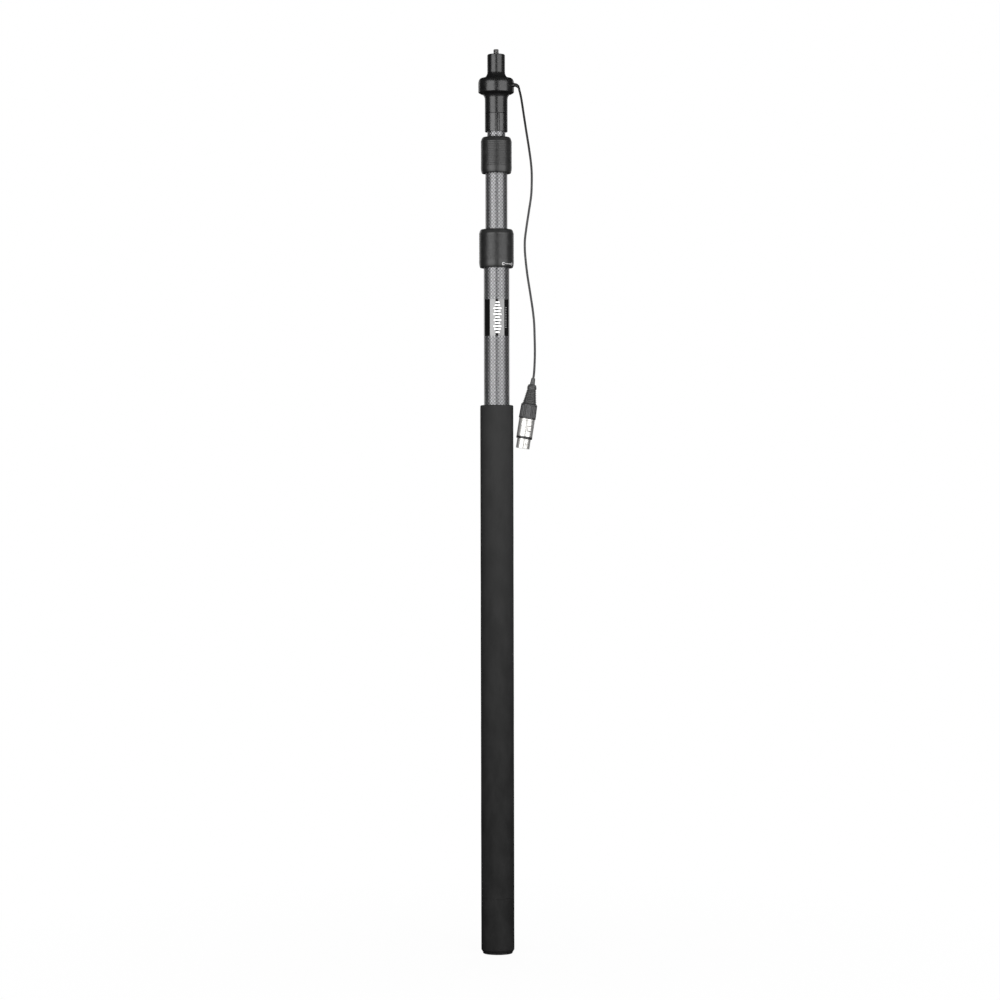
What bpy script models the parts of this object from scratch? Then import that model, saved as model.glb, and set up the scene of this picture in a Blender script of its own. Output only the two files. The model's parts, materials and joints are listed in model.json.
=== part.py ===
"""A hand-held microphone boom pole, closed and upright.

Three carbon tubes slide in each other. A twist lock (ferrule, split collet, collar nut and rubber
sleeve) sits on the top of the outer and of the middle tube, and a guide bush on the foot of the
middle and of the inner tube. A coiled cable runs inside from the three-pin output in the butt to
the head, where it leaves as a short pigtail with a three-pin plug.

The pole's axis is Z, its foot is at the origin and its front faces -Y. Lengths are in millimetres
and become metres through MM. Heights are measured from the foot.
"""

import math

import bmesh
import bpy
from mathutils import Matrix, Vector

MM = 0.001

# Fits
GAP = 0.3
ROUND = 24
ROUND_INNER = 20
ROUND_SMALL = 12
SHARP_ANGLE = math.radians(35)

# Tubes: outer radii, wall and spans
OUTER_R = 14.8
MIDDLE_R = 12.75
INNER_R = 10.5
TUBE_WALL = 1.2
OUTER_FOOT = 27.7
MIDDLE_FOOT = 61.3
INNER_FOOT = 82.3
INNER_TOP = 986.7
GUIDE_LENGTH = 20.0
GUIDE_BORE = 7.6

# Twist locks: foot height, height and radius of the rubber sleeve
LOWER_LOCK = (794.7, 44.5, 20.1)
UPPER_LOCK = (904.2, 41.9, 17.9)
TUBE_IN_LOCK = 16.8
FERRULE_WALL = 2.2
FERRULE_FOOT = 3.8
CONE_FOOT = 18.8
CONE_TOP = 28.8
SLEEVE_WALL = 1.4
COLLET_SPLIT = 1.0
COLLET_CUT = 0.5

# Grip and butt
GRIP_R = 19.25
GRIP_SEAM = 64.65
GRIP_TOP = 635.5
END_CAP_FOOT = 2.0
CAP_RIM_R = 17.15
CAP_CHAMFER = 0.35
CAP_HEIGHT = 5.8
HOUSING_STEP = 26.5
HOUSING_TOP = 48.0
THROAT_R = 7.0
OUTPUT_R = 8.9
OUTPUT_WALL = 0.8
OUTPUT_FOOT = 0.8
OUTPUT_TOP = 24.0
OUTPUT_FACE = 16.0
PIN_R = 1.2
PIN_FOOT = 5.5
PIN_TOP = 30.0
PIN_CIRCLE = 4.0
BUTT_SCREW_CIRCLE = 11.4
SCREW_HEAD = (1.7, 0.8, 2.0)
SCREW_SHANK = (0.8, 13.0)
SCREW_CLEARANCE = 0.3

# Internal cable
CABLE_R = 1.3
COIL_R = 6.25
COIL_FOOT = 50.5
COIL_TOP = 560.0
ANCHOR_R = 8.5
ANCHOR_FOOT = 31.0

# Head
HEAD_SLEEVE_R = 13.14
HEAD_SLEEVE_FOOT = 952.5
HEAD_SEAM = 973.55
FLANGE_R = 20.72
FLANGE_FOOT = 997.8
FLANGE_CORNER = (3.72, 6.0)
FLANGE_TOP = 1014.6
UNDERSIDE = 996.5
COVE = (4.96, 7.0)
NECK_R = 10.26
NECK_SEAM = 1020.85
NECK_FILLET = (6.3, 7.0)
NECK_CHAMFER = 0.8
CHAMBER_R = 7.3
ADAPTER_SPIGOT = 9.0
NECK_TOP = 1042.3
STUD_R = 3.175
STUD_TOP = 1048.2
STUD_DEPTH = 12.0
KEY_SIDE = math.radians(-90 + 8.3)
KEYWAY_FLOOR = 11.9
KEYWAY_HALF = 2.4
KEY_FACES = (12.2, 12.85)
KEY_HALF = 1.1
SET_SCREW_SIDE = math.radians(-42)
SET_SCREW_HEIGHT = 1004.6
SET_SCREW_R = 1.2
SET_SCREW_FOOT = 16.8
SET_SCREW_HEX = (0.65, 1.3)

# Pigtail: where it leaves the flange, and its free route from the gland to the plug
GLAND_SIDE = math.radians(-25)
GLAND_HEIGHT = 1005.6
GLAND_ROOT = 20.2
GLAND_STRAIGHT = 3.3
GLAND_BEND_R = 5.5
GLAND_BEND = math.radians(60)
GLAND_STEPS = 6
GLAND_R = (2.35, 2.3, 1.8)
GLAND_SEAT_R = 2.7
LEAD_BEND_R = 7.0
PIGTAIL_ROUTE = [
    (26.9, -12.2, 999.0),
    (27.9, -12.3, 995.0),
    (29.1, -12.3, 989.0),
    (30.5, -12.4, 980.0),
    (31.9, -12.4, 970.5),
    (34.7, -12.3, 952.0),
    (37.6, -12.1, 933.5),
    (40.1, -11.8, 915.0),
    (40.9, -11.6, 904.0),
    (40.9, -11.4, 892.0),
    (40.3, -11.1, 878.0),
    (37.5, -10.8, 859.0),
    (34.6, -10.5, 840.0),
    (32.9, -10.4, 826.0),
    (32.8, -10.3, 816.0),
    (33.7, -10.2, 803.0),
    (35.8, -10.0, 785.0),
    (38.9, -9.8, 765.0),
    (42.0, -9.6, 744.0),
    (43.4, -9.4, 730.0),
    (43.9, -9.3, 715.0),
    (44.2, -9.2, 697.0),
    (43.8, -9.1, 682.0),
    (43.1, -9.0, 671.5),
]
CABLE_STEP = 7.5

# Plug: the top of its boot, its lean and its stations below that top
PLUG_TOP = (42.35, -9.0, 666.4)
PLUG_LEAN = math.radians(8.8)
BOOT_END = 30.0
CAP_END = 47.5
SHELL_END = 68.3
RING_END = 70.9
PLUG_END = 82.2
CHUCK_START = 32.5
PLUG_CAP_R = 9.8
PLUG_SHELL_R = 9.2
PLUG_NOSE_R = 7.85
PLUG_INSERT_R = 6.85
PLUG_CHUCK_R = 5.5
PLUG_CAVITY_R = 8.0
SHELL_SPIGOT = (7.0, 40.0)
SHELL_BORE = 8.15
NOSE_START = 50.1
BLOCK_SPAN = (50.5, 81.4)
CONTACT_SPAN = (68.0, 80.8)
CONTACT_R = (1.6, 1.25)
CONTACT_HOLE_R = 1.9

# Latch, in a frame whose +X is outward: reach, half width, and stations below the boot's top
LATCH_SIDE = math.radians(-61.5)
LATCH_TRAVEL = 1.1
LATCH_BAR = (5.6, 6.5, 2.1, 54.0, 79.0)
LATCH_BUTTON = (6.1, 9.6, 2.0, 56.0, 62.0)
LATCH_CATCH = (6.1, 8.3, 1.1, 75.6, 77.6)
WINDOW_GAP = 0.4

COLOURS = {
    "carbon": ((0.06, 0.06, 0.065), 0.25, 0.0),
    "foam": ((0.018, 0.018, 0.019), 0.95, 0.0),
    "rubber": ((0.022, 0.022, 0.023), 0.55, 0.0),
    "black_plastic": ((0.02, 0.02, 0.021), 0.45, 0.0),
    "black_metal": ((0.03, 0.03, 0.032), 0.38, 0.9),
    "steel": ((0.62, 0.61, 0.6), 0.22, 1.0),
    "nickel": ((0.78, 0.77, 0.75), 0.2, 1.0),
    "gold": ((0.83, 0.62, 0.25), 0.25, 1.0),
    "nylon": ((0.75, 0.74, 0.7), 0.5, 0.0),
    "cable_jacket": ((0.025, 0.025, 0.026), 0.5, 0.0),
}


def clear_scene():
    for obj in list(bpy.data.objects):
        bpy.data.objects.remove(obj, do_unlink=True)


def make_collection(name):
    found = bpy.data.collections.get(name) or bpy.data.collections.new(name)
    if name not in bpy.context.scene.collection.children:
        bpy.context.scene.collection.children.link(found)
    return found


def make_material(name):
    colour, roughness, metallic = COLOURS[name]
    material = bpy.data.materials.new(name)
    material.use_nodes = True
    shader = material.node_tree.nodes["Principled BSDF"]
    shader.inputs["Base Color"].default_value = (*colour, 1.0)
    shader.inputs["Roughness"].default_value = roughness
    shader.inputs["Metallic"].default_value = metallic
    return material


def add_object(name, data, collection, frame):
    obj = bpy.data.objects.new(name, data)
    collection.objects.link(obj)
    obj.parent = frame
    return obj


def part(name, data, finish, frame):
    """A sub-part with a material of its own, placed by the frame it hangs on."""
    obj = add_object(name, data, PARTS, frame)
    material = make_material(finish)
    material.name = name + "_" + finish
    data.materials.append(material)
    return obj


def joint_frame(name, location=(0, 0, 0), rotation=(0, 0, 0), parent=None):
    """An empty on a joint's axis, which carries the pieces that move together."""
    frame = add_object(name, None, PARTS, parent)
    frame.location = Vector(location) * MM
    frame.rotation_euler = rotation
    return frame


# Profiles: (radius, height) points, down the outside and up the bore


def ring(outer, bore, low, high):
    return [(outer, high), (outer, low), (bore, low), (bore, high)]


def arc(centre, radii, start, end, steps=3):
    """Points along an ellipse about a centre, from one angle to another in degrees."""
    points = []
    for i in range(steps + 1):
        angle = math.radians(start + (end - start) * i / steps)
        points.append((centre[0] + radii[0] * math.cos(angle), centre[1] + radii[1] * math.sin(angle)))
    return points


def profile_mesh(name, profile):
    """The outline that a Screw turns: a closed loop round a bore, or an open line from axis to axis."""
    count = len(profile)
    edges = [(i, i + 1) for i in range(count - 1)]
    if profile[0][0] > 0:
        edges.append((count - 1, 0))
    mesh = bpy.data.meshes.new(name)
    mesh.from_pydata([(r * MM, 0, z * MM) for r, z in profile], edges, [])
    return mesh


def add_screw(obj, steps):
    screw = obj.modifiers.new("Turn", "SCREW")
    screw.axis = "Z"
    screw.steps = steps
    screw.render_steps = steps
    screw.use_merge_vertices = True
    screw.merge_threshold = 0.000001


def turned(name, profile, finish, frame, steps=ROUND):
    obj = part(name, profile_mesh(name, profile), finish, frame)
    add_screw(obj, steps)
    return obj


def turned_cutter(name, profile, frame, steps=ROUND_SMALL):
    obj = cutter(name, profile_mesh(name, profile), frame)
    add_screw(obj, steps)
    return obj


def cylinder_mesh(name, radius, low, high, segments):
    """A cylinder along Z between two heights."""
    shape = bmesh.new()
    bmesh.ops.create_cone(
        shape,
        cap_ends=True,
        segments=segments,
        radius1=radius * MM,
        radius2=radius * MM,
        depth=(high - low) * MM,
        matrix=Matrix.Translation((0, 0, (low + high) / 2 * MM)),
    )
    mesh = bpy.data.meshes.new(name)
    shape.to_mesh(mesh)
    shape.free()
    return mesh


def box_mesh(name, low, high):
    """A box between two corners."""
    low, high = Vector(low) * MM, Vector(high) * MM
    shape = bmesh.new()
    scale = Matrix.Diagonal((*(high - low), 1))
    bmesh.ops.create_cube(shape, size=1, matrix=Matrix.Translation((low + high) / 2) @ scale)
    mesh = bpy.data.meshes.new(name)
    shape.to_mesh(mesh)
    shape.free()
    return mesh


def cutter(name, mesh, frame):
    obj = add_object(name, mesh, CUTTERS, frame)
    obj.hide_render = True
    obj.display_type = "WIRE"
    return obj


def combine(obj, other, operation="DIFFERENCE"):
    boolean = obj.modifiers.new(other.name, "BOOLEAN")
    boolean.operation = operation
    boolean.solver = "EXACT"
    boolean.object = other


def radial(side, radius, height):
    """A point at a side angle about the pole, a distance from its axis and a height."""
    return Vector((radius * math.cos(side), radius * math.sin(side), height))


def radial_cutter(name, side, radius, near, far, height, frame, segments=ROUND_SMALL):
    """A drill along a radius of the pole."""
    drill = cutter(name, cylinder_mesh(name, radius, near, far, segments), frame)
    drill.location = (0, 0, height * MM)
    drill.rotation_euler = (0, math.pi / 2, side)
    return drill


def smooth_line(route, step):
    """Evenly spaced points on a smooth centripetal Catmull-Rom curve through a route's points."""
    points = [Vector(p) for p in route]
    points = [2 * points[0] - points[1], *points, 2 * points[-1] - points[-2]]
    fine, parts = [], 20
    for i in range(1, len(points) - 2):
        a, b, c, d = points[i - 1 : i + 3]
        knots = [0.0]
        for near, far in ((a, b), (b, c), (c, d)):
            knots.append(knots[-1] + math.sqrt((far - near).length))
        for j in range(parts):
            t = knots[1] + (knots[2] - knots[1]) * j / parts
            ab = a.lerp(b, (t - knots[0]) / (knots[1] - knots[0]))
            bc = b.lerp(c, (t - knots[1]) / (knots[2] - knots[1]))
            cd = c.lerp(d, (t - knots[2]) / (knots[3] - knots[2]))
            abc = ab.lerp(bc, (t - knots[0]) / (knots[2] - knots[0]))
            bcd = bc.lerp(cd, (t - knots[1]) / (knots[3] - knots[1]))
            fine.append(abc.lerp(bcd, (t - knots[1]) / (knots[2] - knots[1])))
    fine.append(points[-2])
    total = sum((b - a).length for a, b in zip(fine, fine[1:]))
    count = max(2, round(total / step))
    spaced, walked, target = [fine[0]], 0.0, total / count
    for a, b in zip(fine, fine[1:]):
        length = (b - a).length
        while len(spaced) < count and walked + length >= target * len(spaced):
            spaced.append(a.lerp(b, (target * len(spaced) - walked) / length))
        walked += length
    spaced.append(fine[-1])
    return spaced


def tube_along(name, points, finish, frame, radius, radii=None):
    """A solid tube along points, with a radius of its own at each where radii are given."""
    curve = bpy.data.curves.new(name, "CURVE")
    curve.dimensions = "3D"
    curve.bevel_depth = radius * MM
    curve.bevel_resolution = 2
    curve.use_fill_caps = True
    spline = curve.splines.new("POLY")
    spline.points.add(len(points) - 1)
    for i, point in enumerate(points):
        spline.points[i].co = (*(Vector(point) * MM), 1)
        spline.points[i].radius = radii[i] / radius if radii else 1
    return part(name, curve, finish, frame)


# Handle


def make_tubes(handle, middle, inner):
    """The three carbon tubes, each open at both ends."""
    spans = (
        ("handle_tube", OUTER_R, OUTER_FOOT, LOWER_LOCK[0] + TUBE_IN_LOCK, handle),
        ("middle_tube", MIDDLE_R, MIDDLE_FOOT, UPPER_LOCK[0] + TUBE_IN_LOCK, middle),
        ("inner_tube", INNER_R, INNER_FOOT, INNER_TOP, inner),
    )
    for name, radius, foot, top, frame in spans:
        turned(name, ring(radius, radius - TUBE_WALL, foot, top), "carbon", frame)


def make_grip(handle):
    """The foam sleeve, and the firm end sleeve of the same radius below it."""
    bore = OUTER_R + GAP
    edge = 1.2
    foam = [
        (GRIP_R - edge, GRIP_TOP),
        (GRIP_R, GRIP_TOP - edge),
        (GRIP_R, GRIP_SEAM + GAP / 2),
        (bore, GRIP_SEAM + GAP / 2),
        (bore, GRIP_TOP),
    ]
    turned("foam_grip", foam, "foam", handle)
    recess = CAP_RIM_R + GAP
    end_cap = [
        (GRIP_R, GRIP_SEAM - GAP / 2),
        (GRIP_R, END_CAP_FOOT + 2 * edge),
        (GRIP_R - edge, END_CAP_FOOT),
        (recess, END_CAP_FOOT),
        (recess, CAP_HEIGHT + GAP),
        (bore, CAP_HEIGHT + GAP),
        (bore, GRIP_SEAM - GAP / 2),
    ]
    turned("grip_end_cap", end_cap, "foam", handle)


def make_butt(handle):
    """The three-pin output in the foot of the tube, with its housing, rim cap and screws."""
    mouth = OUTPUT_R + GAP
    cap = turned(
        "butt_cap",
        [
            (CAP_RIM_R, CAP_HEIGHT),
            (CAP_RIM_R, CAP_CHAMFER),
            (CAP_RIM_R - CAP_CHAMFER, 0),
            (mouth, 0),
            (mouth, CAP_HEIGHT),
        ],
        "black_plastic",
        handle,
    )
    spigot_r = OUTER_R - TUBE_WALL - GAP
    housing_foot = CAP_HEIGHT + GAP
    housing = turned(
        "butt_housing",
        [
            (spigot_r, HOUSING_TOP),
            (spigot_r, OUTER_FOOT - GAP),
            (OUTER_R, OUTER_FOOT - GAP),
            (OUTER_R, housing_foot),
            (mouth, housing_foot),
            (mouth, HOUSING_STEP),
            (THROAT_R, HOUSING_STEP),
            (THROAT_R, HOUSING_TOP),
        ],
        "black_metal",
        handle,
        ROUND_INNER,
    )
    make_butt_screws(handle, cap, housing)
    make_output(handle)
    anchor = [
        (0, COIL_FOOT - GAP),
        (ANCHOR_R, COIL_FOOT - GAP),
        (ANCHOR_R, HOUSING_TOP + GAP),
        (THROAT_R - GAP, HOUSING_TOP + GAP),
        (THROAT_R - GAP, ANCHOR_FOOT),
        (0, ANCHOR_FOOT),
    ]
    turned("cable_anchor", anchor, "black_plastic", handle, ROUND_INNER)
    coil = cylinder_mesh("coiled_cable", COIL_R, COIL_FOOT, COIL_TOP, 16)
    part("coiled_cable", coil, "cable_jacket", handle)


def make_butt_screws(handle, cap, housing):
    """The two screws that hold the rim cap to the housing, sunk in the cap."""
    head_r, head_foot, head_top = SCREW_HEAD
    shank_r, shank_top = SCREW_SHANK
    hole = [
        (0, shank_top + 1),
        (shank_r + SCREW_CLEARANCE, shank_top + 1),
        (shank_r + SCREW_CLEARANCE, head_top + GAP),
        (head_r + SCREW_CLEARANCE, head_top + GAP),
        (head_r + SCREW_CLEARANCE, -1),
        (0, -1),
    ]
    screw = [
        (0, shank_top),
        (shank_r, shank_top),
        (shank_r, head_top),
        (head_r, head_top),
        (head_r, head_foot),
        (0, head_foot),
    ]
    for number, side in enumerate((0, math.pi), start=1):
        seat = joint_frame(f"butt_screw_seat_{number}", radial(side, BUTT_SCREW_CIRCLE, 0), parent=handle)
        drill = turned_cutter(f"butt_screw_hole_{number}", hole, seat)
        combine(cap, drill)
        combine(housing, drill)
        turned(f"butt_screw_{number}", screw, "steel", seat, ROUND_SMALL)


def make_output(handle):
    """The output's metal shell, and the block that carries its three pins."""
    shell = ring(OUTPUT_R, OUTPUT_R - OUTPUT_WALL, OUTPUT_FOOT, OUTPUT_TOP)
    turned("output_shell", shell, "nickel", handle, ROUND_INNER)
    block_r = OUTPUT_R - OUTPUT_WALL - GAP
    block = [
        (0, HOUSING_STEP - GAP),
        (OUTPUT_R, HOUSING_STEP - GAP),
        (OUTPUT_R, OUTPUT_TOP + GAP),
        (block_r, OUTPUT_TOP + GAP),
        (block_r, OUTPUT_FACE),
        (0, OUTPUT_FACE),
    ]
    insert = turned("output_insert", block, "black_plastic", handle, ROUND_INNER)
    pin = [(0, PIN_TOP), (PIN_R, PIN_TOP), (PIN_R, PIN_FOOT + 0.8), (0.5, PIN_FOOT), (0, PIN_FOOT)]
    for number, side in enumerate((0, math.pi, -math.pi / 2), start=1):
        seat = joint_frame(f"output_pin_seat_{number}", radial(side, PIN_CIRCLE, 0), parent=handle)
        name = f"output_pin_hole_{number}"
        drill = cylinder_mesh(name, PIN_R + GAP, OUTPUT_FACE - 1, HOUSING_STEP + 1, ROUND_SMALL)
        combine(insert, cutter(name, drill, seat))
        turned(f"output_pin_{number}", pin, "gold", seat, ROUND_SMALL)


# Twist locks


def make_twist_lock(prefix, lock, tube_r, rod_r, tube_frame, collet_frame, collar_frame):
    """Ferrule on the tube's top, split collet in its cone, collar nut over both, rubber over the nut."""
    foot, height, radius = lock
    top = foot + height
    ferrule_r = tube_r + FERRULE_WALL
    cone_foot, cone_top = foot + CONE_FOOT, foot + CONE_TOP
    cone_narrow, cone_wide = rod_r + 1.15, rod_r + 2.85
    ferrule = [
        (ferrule_r, cone_top),
        (ferrule_r, foot + FERRULE_FOOT),
        (tube_r + GAP, foot + FERRULE_FOOT),
        (tube_r + GAP, foot + TUBE_IN_LOCK + GAP),
        (cone_narrow, foot + TUBE_IN_LOCK + GAP),
        (cone_narrow, cone_foot),
        (cone_wide, cone_top),
    ]
    turned(prefix + "_ferrule", ferrule, "black_metal", tube_frame)

    collet_bore = rod_r + 0.35
    collet_top = top - 7.0
    collet = turned(
        prefix + "_collet",
        [
            (ferrule_r - 0.1, collet_top),
            (ferrule_r - 0.1, cone_top + GAP),
            (cone_wide - GAP, cone_top + GAP),
            (cone_narrow - GAP, cone_foot + GAP),
            (collet_bore, cone_foot + GAP),
            (collet_bore, collet_top),
        ],
        "nylon",
        collet_frame,
    )
    for number in range(4):
        name = f"{prefix}_collet_cut_{number}"
        half, end = (COLLET_CUT, cone_top - 3) if number else (COLLET_SPLIT, top)
        cut = cutter(name, box_mesh(name, (0, -half, foot), (radius, half, end)), collet_frame)
        cut.rotation_euler = (0, 0, math.pi / 2 * (number + 1))
        combine(collet, cut)

    nut_r = radius - SLEEVE_WALL - GAP
    nut_foot, nut_top = foot + SLEEVE_WALL + GAP, top - 2.7
    nut = [
        (nut_r, nut_top),
        (nut_r, nut_foot),
        (ferrule_r + 0.4, nut_foot),
        (ferrule_r + 0.4, collet_top + GAP),
        (rod_r + 0.6, collet_top + GAP),
        (rod_r + 0.6, nut_top),
    ]
    turned(prefix + "_collar_nut", nut, "black_metal", collar_frame)

    sleeve = [
        (radius - 2.4, top),
        (radius - 0.9, top - 1.7),
        (radius, top - 5.0),
        (radius, foot + 6.0),
        (radius - 0.8, foot + 2.8),
        (radius - 1.5, foot),
        (tube_r + 0.4, foot),
        (tube_r + 0.4, foot + SLEEVE_WALL),
        (radius - SLEEVE_WALL, foot + SLEEVE_WALL),
        (radius - SLEEVE_WALL, top - 2.4),
        (rod_r + 0.5, top - 2.4),
        (rod_r + 0.5, top),
    ]
    turned(prefix + "_collar_sleeve", sleeve, "rubber", collar_frame)


def make_guides(middle_guide, inner_guide):
    """A bush at each sliding tube's foot: a ring that runs in the tube around it, and a spigot."""
    guides = (
        ("middle_guide", OUTER_R, MIDDLE_R, MIDDLE_FOOT, middle_guide),
        ("inner_guide", MIDDLE_R, INNER_R, INNER_FOOT, inner_guide),
    )
    for name, around_r, tube_r, tube_foot, frame in guides:
        shoulder = tube_foot - GAP
        spigot_r = tube_r - TUBE_WALL - GAP
        ring_r = around_r - TUBE_WALL - GAP
        profile = [
            (spigot_r, shoulder + GUIDE_LENGTH / 2),
            (spigot_r, shoulder),
            (ring_r, shoulder),
            (ring_r, shoulder - GUIDE_LENGTH / 2),
            (GUIDE_BORE, shoulder - GUIDE_LENGTH / 2),
            (GUIDE_BORE, shoulder + GUIDE_LENGTH / 2),
        ]
        turned(name, profile, "nylon", frame, ROUND_INNER)


# Head


def make_head(inner):
    bore = INNER_R + GAP
    sleeve = turned(
        "head_sleeve",
        ring(HEAD_SLEEVE_R, bore, HEAD_SLEEVE_FOOT, HEAD_SEAM - GAP / 2),
        "black_metal",
        inner,
    )
    key_low, key_high = HEAD_SLEEVE_FOOT + 0.4, HEAD_SEAM - 0.6
    slot = box_mesh("head_keyway", (KEYWAY_FLOOR, -KEYWAY_HALF, key_low - 2), (16, KEYWAY_HALF, key_high + 2))
    keyway = cutter("head_keyway", slot, inner)
    keyway.rotation_euler = (0, 0, KEY_SIDE)
    combine(sleeve, keyway)
    key_box = box_mesh("head_key", (KEY_FACES[0], -KEY_HALF, key_low), (KEY_FACES[1], KEY_HALF, key_high))
    key = part("head_key", key_box, "black_metal", inner)
    key.rotation_euler = (0, 0, KEY_SIDE)
    make_hub(inner, bore)

    stud_foot = NECK_TOP - STUD_DEPTH
    adapter = [
        (0, stud_foot - GAP),
        (STUD_R + GAP, stud_foot - GAP),
        (STUD_R + GAP, NECK_TOP),
        (NECK_R - NECK_CHAMFER, NECK_TOP),
        (NECK_R, NECK_TOP - NECK_CHAMFER),
        (NECK_R, NECK_SEAM + GAP / 2),
        (CHAMBER_R - GAP, NECK_SEAM + GAP / 2),
        (CHAMBER_R - GAP, NECK_SEAM - ADAPTER_SPIGOT),
        (0, NECK_SEAM - ADAPTER_SPIGOT),
    ]
    turned("mic_adapter", adapter, "black_metal", inner)
    stud = [
        (0, STUD_TOP),
        (STUD_R - 0.5, STUD_TOP),
        (STUD_R, STUD_TOP - 0.6),
        (STUD_R, stud_foot),
        (0, stud_foot),
    ]
    turned("mic_stud", stud, "steel", inner, ROUND_INNER)


def make_hub(inner, bore):
    """The flanged hub: a fillet up to the neck, and a cove down to the head sleeve."""
    fillet_top = FLANGE_TOP + NECK_FILLET[1]
    cut_off = math.degrees(math.asin((fillet_top - NECK_SEAM + GAP / 2) / NECK_FILLET[1]))
    profile = [
        *arc((NECK_R + NECK_FILLET[0], fillet_top), NECK_FILLET, 180 + cut_off, 270, 4),
        *arc((FLANGE_R - FLANGE_CORNER[0], FLANGE_TOP - FLANGE_CORNER[1]), FLANGE_CORNER, 90, 0, 4),
        (FLANGE_R, FLANGE_FOOT + 0.4),
        (FLANGE_R - 0.4, FLANGE_FOOT),
        *arc((HEAD_SLEEVE_R + COVE[0], UNDERSIDE - COVE[1]), COVE, 90, 180, 4),
        (HEAD_SLEEVE_R, HEAD_SEAM + GAP / 2),
        (bore, HEAD_SEAM + GAP / 2),
        (bore, INNER_TOP + GAP),
        (CHAMBER_R, INNER_TOP + GAP),
        (CHAMBER_R, NECK_SEAM - GAP / 2),
    ]
    hub = turned("head_hub", profile, "black_metal", inner)
    outside = FLANGE_R + 4
    lead_hole = (CABLE_R + 0.4, 5, outside, GLAND_HEIGHT)
    combine(hub, radial_cutter("lead_hole", GLAND_SIDE, *lead_hole, inner))
    seat = (GLAND_SEAT_R, GLAND_ROOT - 1, outside, GLAND_HEIGHT)
    combine(hub, radial_cutter("gland_seat", GLAND_SIDE, *seat, inner))
    hole = (SET_SCREW_R + GAP, SET_SCREW_FOOT - GAP, outside, SET_SCREW_HEIGHT)
    combine(hub, radial_cutter("set_screw_hole", SET_SCREW_SIDE, *hole, inner))
    screw_end = FLANGE_R - 0.5
    screw = part(
        "head_set_screw",
        cylinder_mesh("head_set_screw", SET_SCREW_R, SET_SCREW_FOOT, screw_end, ROUND_SMALL),
        "steel",
        inner,
    )
    screw.location = (0, 0, SET_SCREW_HEIGHT * MM)
    screw.rotation_euler = (0, math.pi / 2, SET_SCREW_SIDE)
    socket = (SET_SCREW_HEX[0], screw_end - SET_SCREW_HEX[1], outside, SET_SCREW_HEIGHT)
    combine(screw, radial_cutter("set_screw_hex", SET_SCREW_SIDE, *socket, inner, 6))


def make_lead_and_gland(inner):
    """The straight part of the internal cable, its bend in the head, and the bent strain relief."""
    lead = [radial(GLAND_SIDE, 0, COIL_TOP + GAP)]
    straight_top = GLAND_HEIGHT - LEAD_BEND_R
    steps = 6
    for i in range(steps + 1):
        angle = math.pi / 2 * i / steps
        reach, rise = LEAD_BEND_R * (1 - math.cos(angle)), LEAD_BEND_R * math.sin(angle)
        lead.append(radial(GLAND_SIDE, reach, straight_top + rise))
    lead.append(radial(GLAND_SIDE, GLAND_ROOT - GAP, GLAND_HEIGHT))
    tube_along("cable_lead", lead, "cable_jacket", inner, CABLE_R)

    root_r, bend_r, mouth_r = GLAND_R
    gland, radii = [radial(GLAND_SIDE, GLAND_ROOT, GLAND_HEIGHT)], [root_r]
    for i in range(GLAND_STEPS + 1):
        angle = GLAND_BEND * i / GLAND_STEPS
        reach = GLAND_ROOT + GLAND_STRAIGHT + GLAND_BEND_R * math.sin(angle)
        drop = GLAND_BEND_R * (1 - math.cos(angle))
        gland.append(radial(GLAND_SIDE, reach, GLAND_HEIGHT - drop))
        radii.append(bend_r + (mouth_r - bend_r) * i / GLAND_STEPS)
    tube_along("cable_gland", gland, "rubber", inner, root_r, radii)
    mouth, inward = gland[-1], (gland[-2] - gland[-1]).normalized()
    return mouth, -inward


# Pigtail and plug


def make_pigtail(inner, gland_mouth, gland_direction):
    """The free cable: out of the gland, down its route, and through the boot to the chuck."""
    lean = Vector((math.sin(PLUG_LEAN), 0, math.cos(PLUG_LEAN)))
    top = Vector(PLUG_TOP)
    start = gland_mouth + gland_direction * GAP
    stub = start + gland_direction * CABLE_R
    inside = [top - lean * depth for depth in (0, 10, 20, CHUCK_START - GAP)]
    points = [start, *smooth_line([stub, *PIGTAIL_ROUTE, *inside], CABLE_STEP)]
    tube_along("pigtail_cable", points, "cable_jacket", inner, CABLE_R)


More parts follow.
